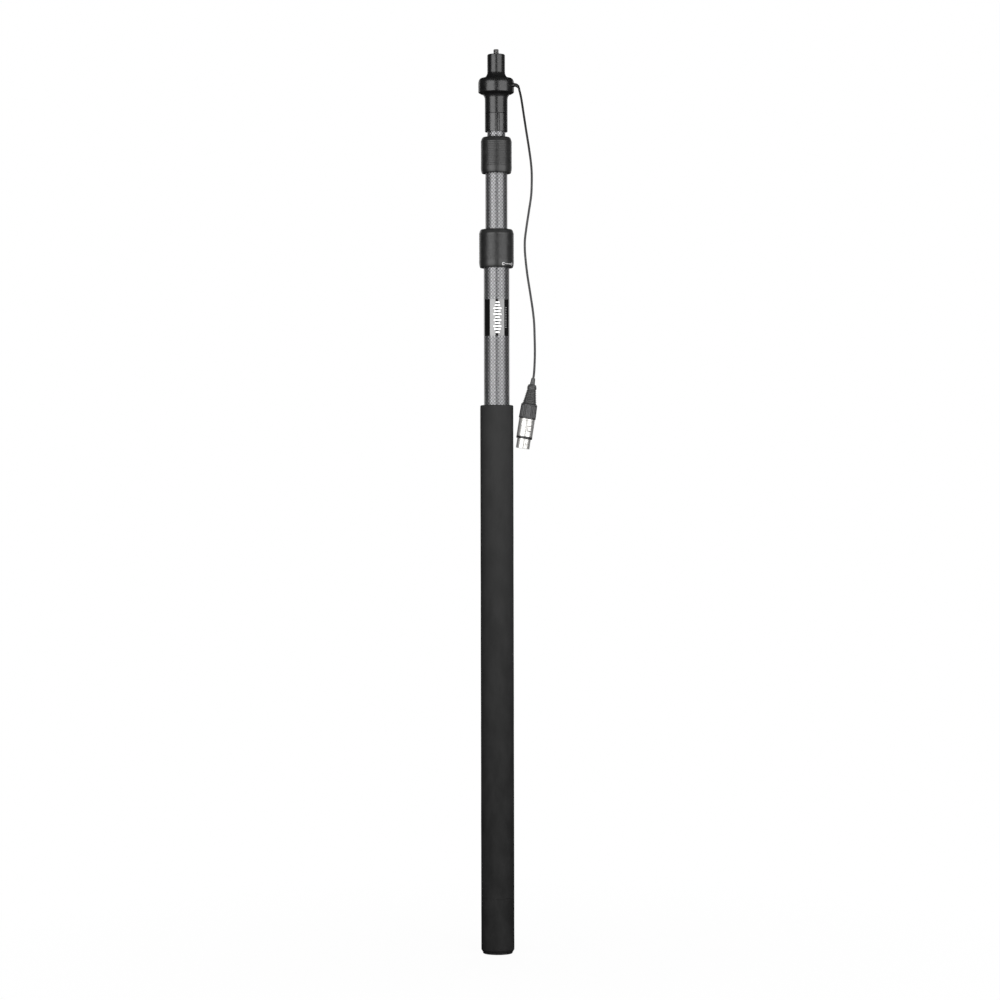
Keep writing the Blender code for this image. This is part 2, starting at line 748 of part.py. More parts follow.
def make_plug(inner):
    """The three-pin plug, in a frame whose -Z runs down the plug from the top of its boot."""
    frame = joint_frame("plug_frame", PLUG_TOP, (0, PLUG_LEAN, 0), inner)
    cable_bore = CABLE_R + 0.45
    boot = [
        (2.2, 0),
        (2.9, -7.4),
        (4.5, -8.0),
        (5.5, -11.0),
        (5.3, -12.3),
        (6.6, -21.0),
        (8.25, -BOOT_END),
        (cable_bore, -BOOT_END),
        (cable_bore, 0),
    ]
    turned("plug_boot", boot, "rubber", frame, ROUND_INNER)
    cap = [
        (8.9, -BOOT_END - GAP),
        (9.2, -BOOT_END - 1.0),
        (PLUG_CAP_R, -CAP_END + 0.4),
        (PLUG_CAP_R - 0.4, -CAP_END),
        (PLUG_CAVITY_R, -CAP_END),
        (PLUG_CAVITY_R, -CHUCK_START + 0.5),
        (cable_bore, -CHUCK_START + 0.5),
        (cable_bore, -BOOT_END - GAP),
    ]
    turned("plug_cap", cap, "black_plastic", frame, ROUND_INNER)
    chuck = cylinder_mesh("plug_chuck", PLUG_CHUCK_R, -CAP_END + 1.5, -CHUCK_START, 16)
    part("plug_chuck", chuck, "nylon", frame)

    spigot_bore, spigot_top = SHELL_SPIGOT
    shell_profile = [
        (PLUG_CAVITY_R - GAP, -spigot_top),
        (PLUG_CAVITY_R - GAP, -CAP_END - GAP),
        (PLUG_SHELL_R, -CAP_END - GAP),
        (PLUG_SHELL_R, -SHELL_END),
        (SHELL_BORE, -SHELL_END),
        (SHELL_BORE, -NOSE_START + GAP),
        (spigot_bore, -NOSE_START + GAP),
        (spigot_bore, -spigot_top),
    ]
    shell = turned("plug_shell", shell_profile, "nickel", frame, ROUND_INNER)
    ring_profile = [
        (PLUG_SHELL_R, -SHELL_END - GAP),
        (PLUG_SHELL_R, -RING_END + 1.1),
        (PLUG_SHELL_R - 0.6, -RING_END),
        (SHELL_BORE, -RING_END),
        (SHELL_BORE, -SHELL_END - GAP),
    ]
    turned("plug_ring", ring_profile, "black_plastic", frame, ROUND_INNER)
    nose_profile = ring(PLUG_NOSE_R, PLUG_INSERT_R + GAP, -PLUG_END, -NOSE_START)
    nose = turned("plug_nose", nose_profile, "nickel", frame, ROUND_INNER)
    block = cylinder_mesh("plug_insert", PLUG_INSERT_R, -BLOCK_SPAN[1], -BLOCK_SPAN[0], ROUND_INNER)
    insert = part("plug_insert", block, "black_plastic", frame)
    for number, turn in enumerate((math.pi / 2, -math.pi / 2, math.pi), start=1):
        at = radial(LATCH_SIDE + turn, PIN_CIRCLE, 0)
        seat = joint_frame(f"plug_contact_seat_{number}", at, parent=frame)
        name = f"plug_contact_hole_{number}"
        drill = cylinder_mesh(name, CONTACT_HOLE_R, -PLUG_END - 1, -CONTACT_SPAN[0] + 0.5, ROUND_SMALL)
        combine(insert, cutter(name, drill, seat))
        contact = ring(*CONTACT_R, -CONTACT_SPAN[1], -CONTACT_SPAN[0])
        turned(f"plug_contact_{number}", contact, "gold", seat, ROUND_SMALL)
    make_latch(frame, shell, nose, insert)


def latch_box(name, box, margin=0.0):
    """One block of the latch, or the space round it where a margin is given."""
    inner, outer, half, start, end = box
    return box_mesh(name, (inner, -half - margin, -end - margin), (outer, half + margin, -start + margin))


def make_latch(plug_frame, shell, nose, insert):
    """The release latch: a bar under the nose with a button and a catch that stand through windows."""
    frame = joint_frame("plug_latch_frame", rotation=(0, 0, LATCH_SIDE), parent=plug_frame)
    latch = part("plug_latch", latch_box("plug_latch", LATCH_BAR), "nickel", frame)
    for name, box in (("latch_button", LATCH_BUTTON), ("latch_catch", LATCH_CATCH)):
        combine(latch, cutter(name, latch_box(name, box), frame), "UNION")
    under_nose, outside = LATCH_BAR[0] - 0.6, PLUG_CAP_R + 1.2
    openings = (
        ("button_window", (under_nose, outside, *LATCH_BUTTON[2:]), (shell, nose)),
        ("catch_window", (under_nose, outside, *LATCH_CATCH[2:]), (nose,)),
        ("latch_pocket", (LATCH_BAR[0] - LATCH_TRAVEL - 0.2, outside, *LATCH_BAR[2:]), (insert,)),
    )
    for name, box, cut_pieces in openings:
        opening = cutter(name, latch_box(name, box, WINDOW_GAP), frame)
        for piece in cut_pieces:
            combine(piece, opening)


def shade_pieces():
    """Settles each piece's modifiers into its mesh and shades it smooth except along its corners."""
    bpy.context.view_layer.update()
    graph = bpy.context.evaluated_depsgraph_get()
    pieces = [obj for obj in PARTS.objects if obj.type == "MESH"]
    settled = [bpy.data.meshes.new_from_object(obj.evaluated_get(graph)) for obj in pieces]
    for obj, mesh in zip(pieces, settled):
        obj.modifiers.clear()
        obj.data = mesh
        mesh.shade_smooth()
        mesh.set_sharp_from_angle(angle=SHARP_ANGLE)


def main():
    handle = joint_frame("handle_frame")
    middle_guide = joint_frame("middle_slide_axis", parent=handle)
    middle = joint_frame("middle_spin_axis", parent=middle_guide)
    inner_guide = joint_frame("inner_slide_axis", parent=middle)
    inner = joint_frame("inner_spin_axis", parent=inner_guide)
    make_tubes(handle, middle, inner)
    make_grip(handle)
    make_butt(handle)
    locks = (
        ("lower", LOWER_LOCK, OUTER_R, MIDDLE_R, handle),
        ("upper", UPPER_LOCK, MIDDLE_R, INNER_R, middle),
    )
    for prefix, lock, tube_r, rod_r, tube_frame in locks:
        collet_frame = joint_frame(prefix + "_collet_axis", parent=tube_frame)
        collar_frame = joint_frame(prefix + "_collar_axis", parent=collet_frame)
        make_twist_lock(prefix, lock, tube_r, rod_r, tube_frame, collet_frame, collar_frame)
    make_guides(middle_guide, inner_guide)
    make_head(inner)
    mouth, direction = make_lead_and_gland(inner)
    make_pigtail(inner, mouth, direction)
    make_plug(inner)
    shade_pieces()


clear_scene()
PARTS = make_collection("boom_pole")
CUTTERS = make_collection("boom_pole_cutters")
main()
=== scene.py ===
"""The looks of a closed microphone boom pole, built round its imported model.

Lengths in this file are in millimetres and become metres through MM, except the camera, the lights
and the pigtail's route, which are in metres. The pole's axis is Z, its foot is at the origin and its
front faces -Y. A side is an angle about the axis: -90 degrees is the front.
"""

import json
import math

import bmesh
import bpy
from mathutils import Matrix, Vector, noise


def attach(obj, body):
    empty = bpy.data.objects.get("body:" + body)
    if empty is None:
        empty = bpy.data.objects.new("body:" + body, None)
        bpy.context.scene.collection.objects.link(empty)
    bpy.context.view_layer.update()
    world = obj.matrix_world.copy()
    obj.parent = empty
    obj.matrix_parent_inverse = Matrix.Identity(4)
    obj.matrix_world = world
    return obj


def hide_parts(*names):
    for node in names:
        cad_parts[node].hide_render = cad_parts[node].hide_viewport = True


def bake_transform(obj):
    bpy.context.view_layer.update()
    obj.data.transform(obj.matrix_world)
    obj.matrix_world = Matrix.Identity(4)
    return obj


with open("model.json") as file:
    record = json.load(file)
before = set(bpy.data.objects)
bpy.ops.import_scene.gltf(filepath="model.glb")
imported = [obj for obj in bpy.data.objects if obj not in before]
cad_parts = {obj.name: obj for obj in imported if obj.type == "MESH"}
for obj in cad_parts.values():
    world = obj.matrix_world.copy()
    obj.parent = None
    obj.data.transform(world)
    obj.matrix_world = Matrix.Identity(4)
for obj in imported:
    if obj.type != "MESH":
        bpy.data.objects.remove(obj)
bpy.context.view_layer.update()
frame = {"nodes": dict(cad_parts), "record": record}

MM = 0.001
SCENE = bpy.context.scene
FRONT = math.radians(-90)
SHARP = math.radians(50)
SHARP_CUT = math.radians(32)
SHARP_RIBBED = math.radians(70)
SHARP_THREAD = math.radians(40)
ROUND = 128
ROUND_MEDIUM = 96
ROUND_SMALL = 40
STAGE_REACH = 9

# Camera
CAMERA_AT = (0.0035, -3.5, 0.5255)
CAMERA_ROLL = math.radians(0.115)
CAMERA_LENS = 108.6

# Sizes shared with the solid model
OUTER_R, MIDDLE_R, INNER_R = 14.8, 12.75, 10.5
TUBE_WALL = 1.2
WEAVE_RISE = 4.14
GRIP_R = 19.25
GRIP_SEAM = 64.65
GRIP_TOP = 635.5
GRIP_CROWN = 1.8
END_SLEEVE_FOOT = 2.0
END_SLEEVE_RECESS = 17.45
LABEL_FOOT, LABEL_TOP = 715.4, 757.8
LOWER_LOCK = (794.7, 44.5, 20.1)
UPPER_LOCK = (904.2, 41.9, 17.9)
HEAD_SLEEVE_R = 13.14
HEAD_SLEEVE_FOOT = 952.5
HEAD_SEAM = 973.55
SEAM = 0.12
FLANGE_R = 20.72
FLANGE_FOOT = 997.8
FLANGE_CORNER = (3.72, 6.0)
FLANGE_TOP = 1014.6
UNDERSIDE = 996.5
COVE = (4.96, 7.0)
NECK_R = 10.26
NECK_FILLET = (6.3, 7.0)
NECK_SEAM = 1020.85
NECK_TOP = 1042.3
STUD_TOP = 1048.2
KEY_SIDE = math.radians(-81.7)
SET_SCREW_SIDE = math.radians(-42)
CABLE_R = 1.3
GLAND_SIDE = math.radians(-25)
GLAND_HEIGHT = 1005.6
GLAND_ROOT = 20.2
GLAND_STRAIGHT = 3.3
GLAND_BEND_R = 5.5
GLAND_BEND = math.radians(60)
GLAND_FOOT_R, GLAND_R = 2.35, 2.3
GLAND_TAPER, GLAND_GROOVE = 0.5, 0.22
PLUG_TOP = (42.35, -9.0, 666.4)
PLUG_LEAN = math.radians(8.8)
LATCH_SIDE = math.radians(-61.5)
LATCH_WINDOW = ((5, -2.4, -62.4), (11, 2.4, -55.6))
PLUG_FRAME = Matrix.Translation(Vector(PLUG_TOP) * MM) @ Matrix.Rotation(PLUG_LEAN, 4, "Y")

# The pigtail's centreline, from the gland down to the plug
PIGTAIL_ROUTE = [
    (0.0269, -0.0122, 0.9990),
    (0.0279, -0.0123, 0.9950),
    (0.0291, -0.0123, 0.9890),
    (0.0305, -0.0124, 0.9800),
    (0.0319, -0.0124, 0.9705),
    (0.0347, -0.0123, 0.9520),
    (0.0376, -0.0121, 0.9335),
    (0.0401, -0.0118, 0.9150),
    (0.0409, -0.0116, 0.9040),
    (0.0409, -0.0114, 0.8920),
    (0.0403, -0.0111, 0.8780),
    (0.0375, -0.0108, 0.8590),
    (0.0346, -0.0105, 0.8400),
    (0.0329, -0.0104, 0.8260),
    (0.0328, -0.0103, 0.8160),
    (0.0337, -0.0102, 0.8030),
    (0.0358, -0.0100, 0.7850),
    (0.0389, -0.0098, 0.7650),
    (0.0420, -0.0096, 0.7440),
    (0.0434, -0.0094, 0.7300),
    (0.0439, -0.0093, 0.7150),
    (0.0442, -0.0092, 0.6970),
    (0.0438, -0.0091, 0.6820),
    (0.0431, -0.0090, 0.6715),
]


# Shapes


def radial(side, reach, height):
    """A point in metres, from a side, a distance from the axis and a height in millimetres."""
    return Vector((reach * math.cos(side), reach * math.sin(side), height)) * MM


def smooth_line(points, step):
    """Points about a step apart, in metres, on a centripetal Catmull-Rom curve through the given ones."""
    pts = [Vector(p) for p in points]
    pts = [pts[0] * 2 - pts[1], *pts, pts[-1] * 2 - pts[-2]]
    out = []
    for p0, p1, p2, p3 in zip(pts, pts[1:], pts[2:], pts[3:]):
        t1 = (p1 - p0).length ** 0.5
        t2 = t1 + (p2 - p1).length ** 0.5
        t3 = t2 + (p3 - p2).length ** 0.5
        count = max(1, round((p2 - p1).length / step))
        for i in range(count):
            t = t1 + (t2 - t1) * i / count
            a1 = p0 * ((t1 - t) / t1) + p1 * (t / t1)
            a2 = p1 * ((t2 - t) / (t2 - t1)) + p2 * ((t - t1) / (t2 - t1))
            a3 = p2 * ((t3 - t) / (t3 - t2)) + p3 * ((t - t2) / (t3 - t2))
            b1 = a1 * ((t2 - t) / t2) + a2 * (t / t2)
            b2 = a2 * ((t3 - t) / (t3 - t1)) + a3 * ((t - t1) / (t3 - t1))
            out.append(b1 * ((t2 - t) / (t2 - t1)) + b2 * ((t - t1) / (t2 - t1)))
    out.append(pts[-2])
    return out


def settle(obj, body, stands_for=()):
    """Puts a piece on its body, in the place of the solid nodes it stands for."""
    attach(obj, body)
    if stands_for:
        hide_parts(*stands_for)
    return obj


def add_object(name, data, paint, matrix=None):
    """Every piece's object sits at the origin, and its place is in its mesh."""
    data.materials.append(paint)
    if matrix is not None:
        data.transform(matrix)
    obj = bpy.data.objects.new(name, data)
    SCENE.collection.objects.link(obj)
    return obj


def mesh_from(name, verts, faces, sharp=SHARP):
    mesh = bpy.data.meshes.new(name)
    bm = bmesh.new()
    made = [bm.verts.new(v) for v in verts]
    for face in faces:
        bm.faces.new([made[i] for i in face])
    bmesh.ops.recalc_face_normals(bm, faces=bm.faces)
    bm.to_mesh(mesh)
    bm.free()
    mesh.shade_smooth()
    mesh.set_sharp_from_angle(angle=sharp)
    return mesh


def rounded(outline, corner, steps=3):
    """The outline with its corners rounded, and a point just outside each to keep the flats flat."""
    open_ended = outline[0][0] == 0 and outline[-1][0] == 0
    count = len(outline)
    out = []
    for i, here in enumerate(outline):
        if open_ended and i in (0, count - 1):
            out.append(here)
            continue
        p = Vector(here)
        before, after = Vector(outline[i - 1]) - p, Vector(outline[(i + 1) % count]) - p
        turn = before.angle(-after, 0.0)
        reach = min(corner * math.tan(turn / 2), before.length * 0.42, after.length * 0.42)
        if reach < 0.004:
            out.append(here)
            continue
        a, b = before.normalized() * reach, after.normalized() * reach
        out.append(tuple(p + a * 1.15))
        for k in range(steps + 1):
            t = k / steps
            out.append(tuple(p + a * (1 - t) ** 2 + b * t**2))
        out.append(tuple(p + b * 1.15))
    return out


def divided(outline, step):
    """The outline with each side divided into pieces no longer than step."""
    closed = not (outline[0][0] == 0 and outline[-1][0] == 0)
    ends = outline[1:] + ([outline[0]] if closed else [])
    out = []
    for (r0, z0), (r1, z1) in zip(outline, ends):
        pieces = max(1, math.ceil(math.hypot(r1 - r0, z1 - z0) / step))
        out += [(r0 + (r1 - r0) * k / pieces, z0 + (z1 - z0) * k / pieces) for k in range(pieces)]
    return out if closed else out + [outline[-1]]


def turned_mesh(name, path, steps=ROUND, shape=None, sharp=SHARP):
    """A closed outline of (radius, height) turned about Z.

    shape(side, radius, height) may change a radius.
    """
    verts, rings = [], []
    for r, z in path:
        if r == 0:
            rings.append([len(verts)] * steps)
            verts.append((0, 0, z * MM))
            continue
        rings.append(list(range(len(verts), len(verts) + steps)))
        for k in range(steps):
            side = 2 * math.pi * k / steps
            reach = shape(side, r, z) if shape else r
            verts.append(radial(side, reach, z))
    faces = []
    closed = path[0][0] != 0 or path[-1][0] != 0
    for low, high in zip(rings, rings[1:] + (rings[:1] if closed else [])):
        for k in range(steps):
            n = (k + 1) % steps
            corners = [low[k], low[n], high[n], high[k]]
            corners = [c for j, c in enumerate(corners) if c != corners[j - 1]]
            if len(corners) > 2:
                faces.append(corners)
    return mesh_from(name, verts, faces, sharp)


def turned(name, outline, paint, body, stands_for=(), corner=0.3, steps=ROUND, matrix=None):
    """A turned piece with rounded corners, on its body."""
    mesh = turned_mesh(name, rounded(outline, corner), steps)
    return settle(add_object(name, mesh, paint, matrix), body, stands_for)


def ring(outer, inner, low, high):
    """Outline of a plain tube."""
    return [(outer, high), (outer, low), (inner, low), (inner, high)]


def arc(centre, radii, start, end, steps):
    angles = [math.radians(start + (end - start) * i / steps) for i in range(steps + 1)]
    return [(centre[0] + radii[0] * math.cos(a), centre[1] + radii[1] * math.sin(a)) for a in angles]


def box_mesh(name, low, high, edge=0.0):
    """A box between two corners in millimetres, its edges rounded by edge."""
    bm = bmesh.new()
    bmesh.ops.create_cube(bm, size=1)
    for v in bm.verts:
        v.co = Vector([(lo + hi) / 2 + c * (hi - lo) for lo, hi, c in zip(low, high, v.co)]) * MM
    if edge:
        bmesh.ops.bevel(bm, geom=bm.edges[:], offset=edge * MM, segments=3, affect="EDGES", profile=0.5)
    mesh = bpy.data.meshes.new(name)
    bm.to_mesh(mesh)
    bm.free()
    mesh.shade_smooth()
    mesh.set_sharp_from_angle(angle=SHARP_CUT)
    return mesh


def rod_mesh(name, radius, low, high, steps=32):
    """A plain rod along Z."""
    return turned_mesh(name, [(0, high), (radius, high), (radius, low), (0, low)], steps)


def cut(obj, mesh, matrix, operation="DIFFERENCE"):
    """Cuts a mesh, placed by matrix, out of a piece, or joins it to the piece, for good."""
    tool = bpy.data.objects.new("tool", mesh)
    SCENE.collection.objects.link(tool)
    tool.matrix_world = matrix
    boolean = obj.modifiers.new("cut", "BOOLEAN")
    boolean.operation = operation
    boolean.object = tool
    boolean.solver = "EXACT"
    bpy.context.view_layer.update()
    made = bpy.data.meshes.new_from_object(obj.evaluated_get(bpy.context.evaluated_depsgraph_get()))
    obj.modifiers.clear()
    obj.data = made
    made.set_sharp_from_angle(angle=SHARP_CUT)
    bpy.data.objects.remove(tool)


def across(side, height):
    """A frame at the axis whose Z points outward at that side and height."""
    raised = Matrix.Translation((0, 0, height * MM)) @ Matrix.Rotation(side, 4, "Z")
    return raised @ Matrix.Rotation(math.pi / 2, 4, "Y")


def tube_curve(name, points, radius, thickness=None, sides=6):
    """A bevelled curve through points in metres. thickness scales the radius at each point."""
    data = bpy.data.curves.new(name, "CURVE")
    data.dimensions = "3D"
    data.bevel_depth = radius * MM
    data.bevel_resolution = sides
    data.use_fill_caps = True
    line = data.splines.new("POLY")
    line.points.add(len(points) - 1)
    for i, p in enumerate(points):
        line.points[i].co = (*p, 1)
        line.points[i].radius = thickness[i] if thickness else 1
    line.use_smooth = True
    return data


def tube_mesh(name, points, radius, thickness=None, sides=6):
    data = tube_curve(name, points, radius, thickness, sides)
    obj = bpy.data.objects.new(name, data)
    SCENE.collection.objects.link(obj)
    bpy.context.view_layer.update()
    mesh = bpy.data.meshes.new_from_object(obj.evaluated_get(bpy.context.evaluated_depsgraph_get()))
    bpy.data.objects.remove(obj)
    mesh.shade_smooth()
    return mesh


def in_order(bm):
    """A bmesh's corners and faces in an order that is the same each run, as bmesh's own may not be."""
    verts = sorted(bm.verts, key=lambda v: tuple(v.co))
    number = {v: i for i, v in enumerate(verts)}
    faces = []
    for face in bm.faces:
        corners = [number[v] for v in face.verts]
        first = corners.index(min(corners))
        faces.append(corners[first:] + corners[:first])
    return [tuple(v.co) for v in verts], sorted(faces)


def wrapped(name, shapes, side, height, radius_at, paint, body, thick=0.05):
    """Flat printed shapes, outlines of (along, up) in millimetres, laid round a turned surface.

    They stand thick above the surface, and reach a little way into it.
    """
    bm = bmesh.new()
    for outline in shapes:
        face = bm.faces.new([bm.verts.new((u, v, 0)) for u, v in outline])
        face.normal_update()
        bmesh.ops.triangulate(bm, faces=[face])
    reach = max(abs(c) for outline in shapes for p in outline for c in p)
    step, sink = 0.7, 0.05
    for axis in ((1, 0, 0), (0, 1, 0)):
        for k in range(-math.ceil(reach / step), math.ceil(reach / step) + 1):
            everything = bm.verts[:] + bm.edges[:] + bm.faces[:]
            bmesh.ops.bisect_plane(bm, geom=everything, plane_co=Vector(axis) * k * step, plane_no=axis)
    top = bmesh.ops.extrude_face_region(bm, geom=bm.faces[:])
    for v in [g for g in top["geom"] if isinstance(g, bmesh.types.BMVert)]:
        v.co.z = thick
    for v in bm.verts:
        up = height + v.co.y
        surface = radius_at(up)
        lift = v.co.z if v.co.z else -sink
        v.co = radial(side + v.co.x / surface, surface + lift, up)
    bmesh.ops.recalc_face_normals(bm, faces=bm.faces)
    verts, faces = in_order(bm)
    bm.free()
    mesh = bpy.data.meshes.new(name)
    mesh.from_pydata(verts, [], faces)
    return settle(add_object(name, mesh, paint), body)


# Materials


class Paint:
    """A Principled material, and short ways to add the nodes that drive it."""

    def __init__(self, name, colour=(0.5, 0.5, 0.5), lean=0.0, **sockets):
        self.lean = lean
        self.material = bpy.data.materials.new(name)
        self.material.use_nodes = True
        self.tree = self.material.node_tree
        self.shader = self.tree.nodes["Principled BSDF"]
        self.shader.inputs["Base Color"].default_value = (*colour, 1)
        for socket, value in sockets.items():
            self.shader.inputs[socket.replace("_", " ")].default_value = value

    def node(self, kind, inputs=(), **settings):
        made = self.tree.nodes.new(kind)
        for key, value in settings.items():
            setattr(made, key, value)
        for key, value in dict(inputs).items():
            if isinstance(value, bpy.types.NodeSocket):
                self.tree.links.new(value, made.inputs[key])
            else:
                made.inputs[key].default_value = value
        return made

    def math(self, operation, *values):
        return self.node("ShaderNodeMath", dict(enumerate(values)), operation=operation).outputs[0]

    def place(self):
        """Object coordinates, turned so that Z runs along a piece that leans."""
        place = self.node("ShaderNodeTexCoord").outputs["Object"]
        return self.node("ShaderNodeMapping", {"Vector": place, "Rotation": (0, -self.lean, 0)}).outputs[0]

    def stretched(self, scale):
        return self.node("ShaderNodeMapping", {"Vector": self.place(), "Scale": scale}).outputs[0]

    def noise(self, size, detail=2.0, vector=None, roughness=0.5):
        """Noise from 0 to 1 whose grains are about size millimetres."""
        inputs = {
            "Vector": vector or self.place(),
            "Scale": 1 / (size * MM),
            "Detail": detail,
            "Roughness": roughness,
        }
        return self.node("ShaderNodeTexNoise", inputs).outputs["Fac"]

    def span(self, value, low, high, to_low=0.0, to_high=1.0):
        inputs = {0: value, 1: low, 2: high, 3: to_low, 4: to_high}
        return self.node("ShaderNodeMapRange", inputs).outputs[0]

    def mix(self, share, first, second):
        made = self.node("ShaderNodeMix", data_type="RGBA")
        for key, value in ((0, share), (6, first), (7, second)):
            if isinstance(value, bpy.types.NodeSocket):
                self.tree.links.new(value, made.inputs[key])
            else:
                made.inputs[key].default_value = value if key == 0 else (*value, 1)
        return made.outputs[2]

    def bump(self, height, distance, strength=1.0, under=None):
        inputs = {"Height": height, "Distance": distance * MM, "Strength": strength}
        if under:
            inputs["Normal"] = under
        return self.node("ShaderNodeBump", inputs).outputs[0]

    def drive(self, **sockets):
        for socket, value in sockets.items():
            self.tree.links.new(value, self.shader.inputs[socket.replace("_", " ")])
        return self.material


def carbon_paint(name, count):
    """Flat tows of carbon at 45 degrees, woven over and under, in a gloss coat.

    count tows go round the tube.
    """
    p = Paint(name, Metallic=0.8, Coat_Weight=1.0, Coat_Roughness=0.07, Coat_IOR=1.6)
    split = p.node("ShaderNodeSeparateXYZ", {0: p.place()})
    turn = p.math("MULTIPLY", p.math("ARCTAN2", split.outputs[1], split.outputs[0]), count / (2 * math.pi))
    rise = p.math("DIVIDE", split.outputs[2], WEAVE_RISE * MM)
    a, b = p.math("ADD", turn, rise), p.math("SUBTRACT", turn, rise)
    over = p.math("FLOORED_MODULO", p.math("ADD", p.math("FLOOR", a), p.math("FLOOR", b)), 2.0)

    def crown(share, power):
        return p.math("POWER", p.math("ABSOLUTE", p.math("SINE", p.math("MULTIPLY", share, math.pi))), power)

    def tow(across_it, along_it):
        """Height of one tow: rounded across, and arched where it passes over the next."""
        return p.math("MULTIPLY", crown(across_it, 0.8), crown(along_it, 0.5))

    def fibres(along_scale, across_scale):
        along = p.math("MULTIPLY", a, along_scale)
        across = p.math("MULTIPLY", b, across_scale)
        vector = p.node("ShaderNodeCombineXYZ", {0: along, 1: across}).outputs[0]
        return p.node("ShaderNodeTexNoise", {"Vector": vector, "Scale": 1.0, "Detail": 2.0}).outputs["Fac"]

    height = p.node("ShaderNodeMix", {0: over, 2: tow(a, b), 3: tow(b, a)}).outputs[0]
    fibre = p.node("ShaderNodeMix", {0: over, 2: fibres(9.0, 0.6), 3: fibres(0.6, 9.0)}).outputs[0]
    # One family of tows is painted lighter than the other: painted reflection, standing in for the sheen
    # along the fibres.
    dark = p.mix(over, (0.130, 0.130, 0.135), (0.165, 0.165, 0.171))
    light = p.mix(over, (0.230, 0.230, 0.239), (0.300, 0.300, 0.311))
    tone = p.mix(p.span(fibre, 0.3, 0.7), dark, light)
    colour = p.mix(p.span(height, 0.05, 0.58), (0.032, 0.032, 0.033), tone)
    relief = p.bump(p.math("ADD", height, p.math("MULTIPLY", fibre, 0.12)), 0.34, 1.0)
    p.tree.links.new(p.bump(height, 0.08, 1.0), p.shader.inputs["Coat Normal"])
    return p.drive(Base_Color=colour, Roughness=p.span(fibre, 0.3, 0.7, 0.26, 0.38), Normal=relief)


def foam_paint(name, colour=0.0205, grain=0.34):
    """Closed-cell foam: fine open pores, cut cells that catch the light, and faint handling marks.

    The upper part of the grip is painted lighter than its foot: painted light, brighter towards the top.
    """
    p = Paint(name, Specular_IOR_Level=0.03)
    cell_inputs = {"Vector": p.place(), "Scale": 1 / (grain * 2.2 * MM)}
    cells = p.node("ShaderNodeTexVoronoi", cell_inputs).outputs["Distance"]
    fine = p.noise(grain, 3.0)
    patches = p.noise(14.0, 3.0, p.stretched((1.0, 1.0, 0.45)))
    tone = p.mix(p.span(patches, 0.32, 0.68), (colour * 0.82,) * 3, (colour * 1.22,) * 3)
    flecks = p.span(fine, 0.6, 0.78)
    dark_end_tone = p.mix(p.math("MULTIPLY", flecks, 0.5), tone, (colour * 2.6, colour * 2.6, colour * 2.7))
    # Painted light: the colour grows lighter towards the top of the grip, where more light falls.
    height_up = p.node("ShaderNodeSeparateXYZ", {0: p.place()}).outputs[2]
    painted_light_share = p.span(height_up, 0.15, 0.58, 0.0, 1.0)
    colour_out = p.mix(p.math("MULTIPLY", painted_light_share, 0.45), dark_end_tone, (colour * 2.0,) * 3)
    height = p.math("ADD", p.math("MULTIPLY", cells, 0.7), fine)
    wave = p.bump(p.noise(9.0, 2.0, p.stretched((1.0, 1.0, 0.5))), 0.5, 0.5)
    relief = p.bump(height, 0.14, 0.7, wave)
    rough = p.span(patches, 0.3, 0.7, 0.8, 0.95)
    return p.drive(Base_Color=colour_out, Roughness=rough, Normal=relief)


def rubber_paint(name, colour=0.0155, low=0.30, high=0.40):
    """Moulded rubber: a fine matt grain, polished smoother in patches by handling, with a little dust."""
    p = Paint(name, Specular_IOR_Level=0.56)
    grain = p.noise(0.22, 3.0)
    rubbed_patches_and_painted_light = p.noise(7.0, 3.0)
    dust = p.span(p.noise(0.5, 2.0), 0.66, 0.8)
    tone = p.mix(p.span(rubbed_patches_and_painted_light, 0.3, 0.7), (colour * 0.85,) * 3, (colour * 1.2,) * 3)
    colour_out = p.mix(p.math("MULTIPLY", dust, 0.25), tone, (0.06, 0.06, 0.058))
    rough = p.span(rubbed_patches_and_painted_light, 0.3, 0.7, low, high)
    return p.drive(Base_Color=colour_out, Roughness=rough, Normal=p.bump(grain, 0.05, 0.6))


def plastic_paint(name, colour=(0.016, 0.016, 0.017), roughness=0.34):
    """Spark-eroded moulded plastic."""
    p = Paint(name, colour)
    grain = p.noise(0.16, 3.0)
    cloud = p.noise(6.0, 2.0)
    tone = p.mix(p.span(cloud, 0.3, 0.7), [c * 0.88 for c in colour], [min(1.0, c * 1.14) for c in colour])
    rough = p.span(cloud, 0.3, 0.7, roughness - 0.05, roughness + 0.08)
    return p.drive(Base_Color=tone, Roughness=rough, Normal=p.bump(grain, 0.035, 0.6))


def anodised_paint(name, colour=0.008, roughness=0.26, specular=0.72):
    """Black anodised aluminium: rings left by the tool, a soft blast finish, and light scuffs."""
    p = Paint(name, Specular_IOR_Level=specular, Metallic=0.1)
    rings = p.noise(0.45, 2.0, p.stretched((0.02, 0.02, 1.0)))
    blast = p.noise(0.12, 2.0)
    cloud = p.noise(5.0, 3.0)
    scuffs = p.span(p.noise(1.6, 5.0, p.stretched((1.0, 1.0, 0.35)), 0.65), 0.66, 0.74)
    tone = p.mix(p.span(cloud, 0.3, 0.7), (colour * 0.85,) * 3, (colour * 1.15, colour * 1.15, colour * 1.2))
    colour_out = p.mix(p.math("MULTIPLY", scuffs, 0.12), tone, (0.11, 0.11, 0.112))
    relief = p.bump(rings, 0.05, 0.35, p.bump(blast, 0.02, 0.5))
    rough = p.span(cloud, 0.3, 0.7, roughness - 0.04, roughness + 0.07)
    return p.drive(Base_Color=colour_out, Roughness=rough, Normal=relief)


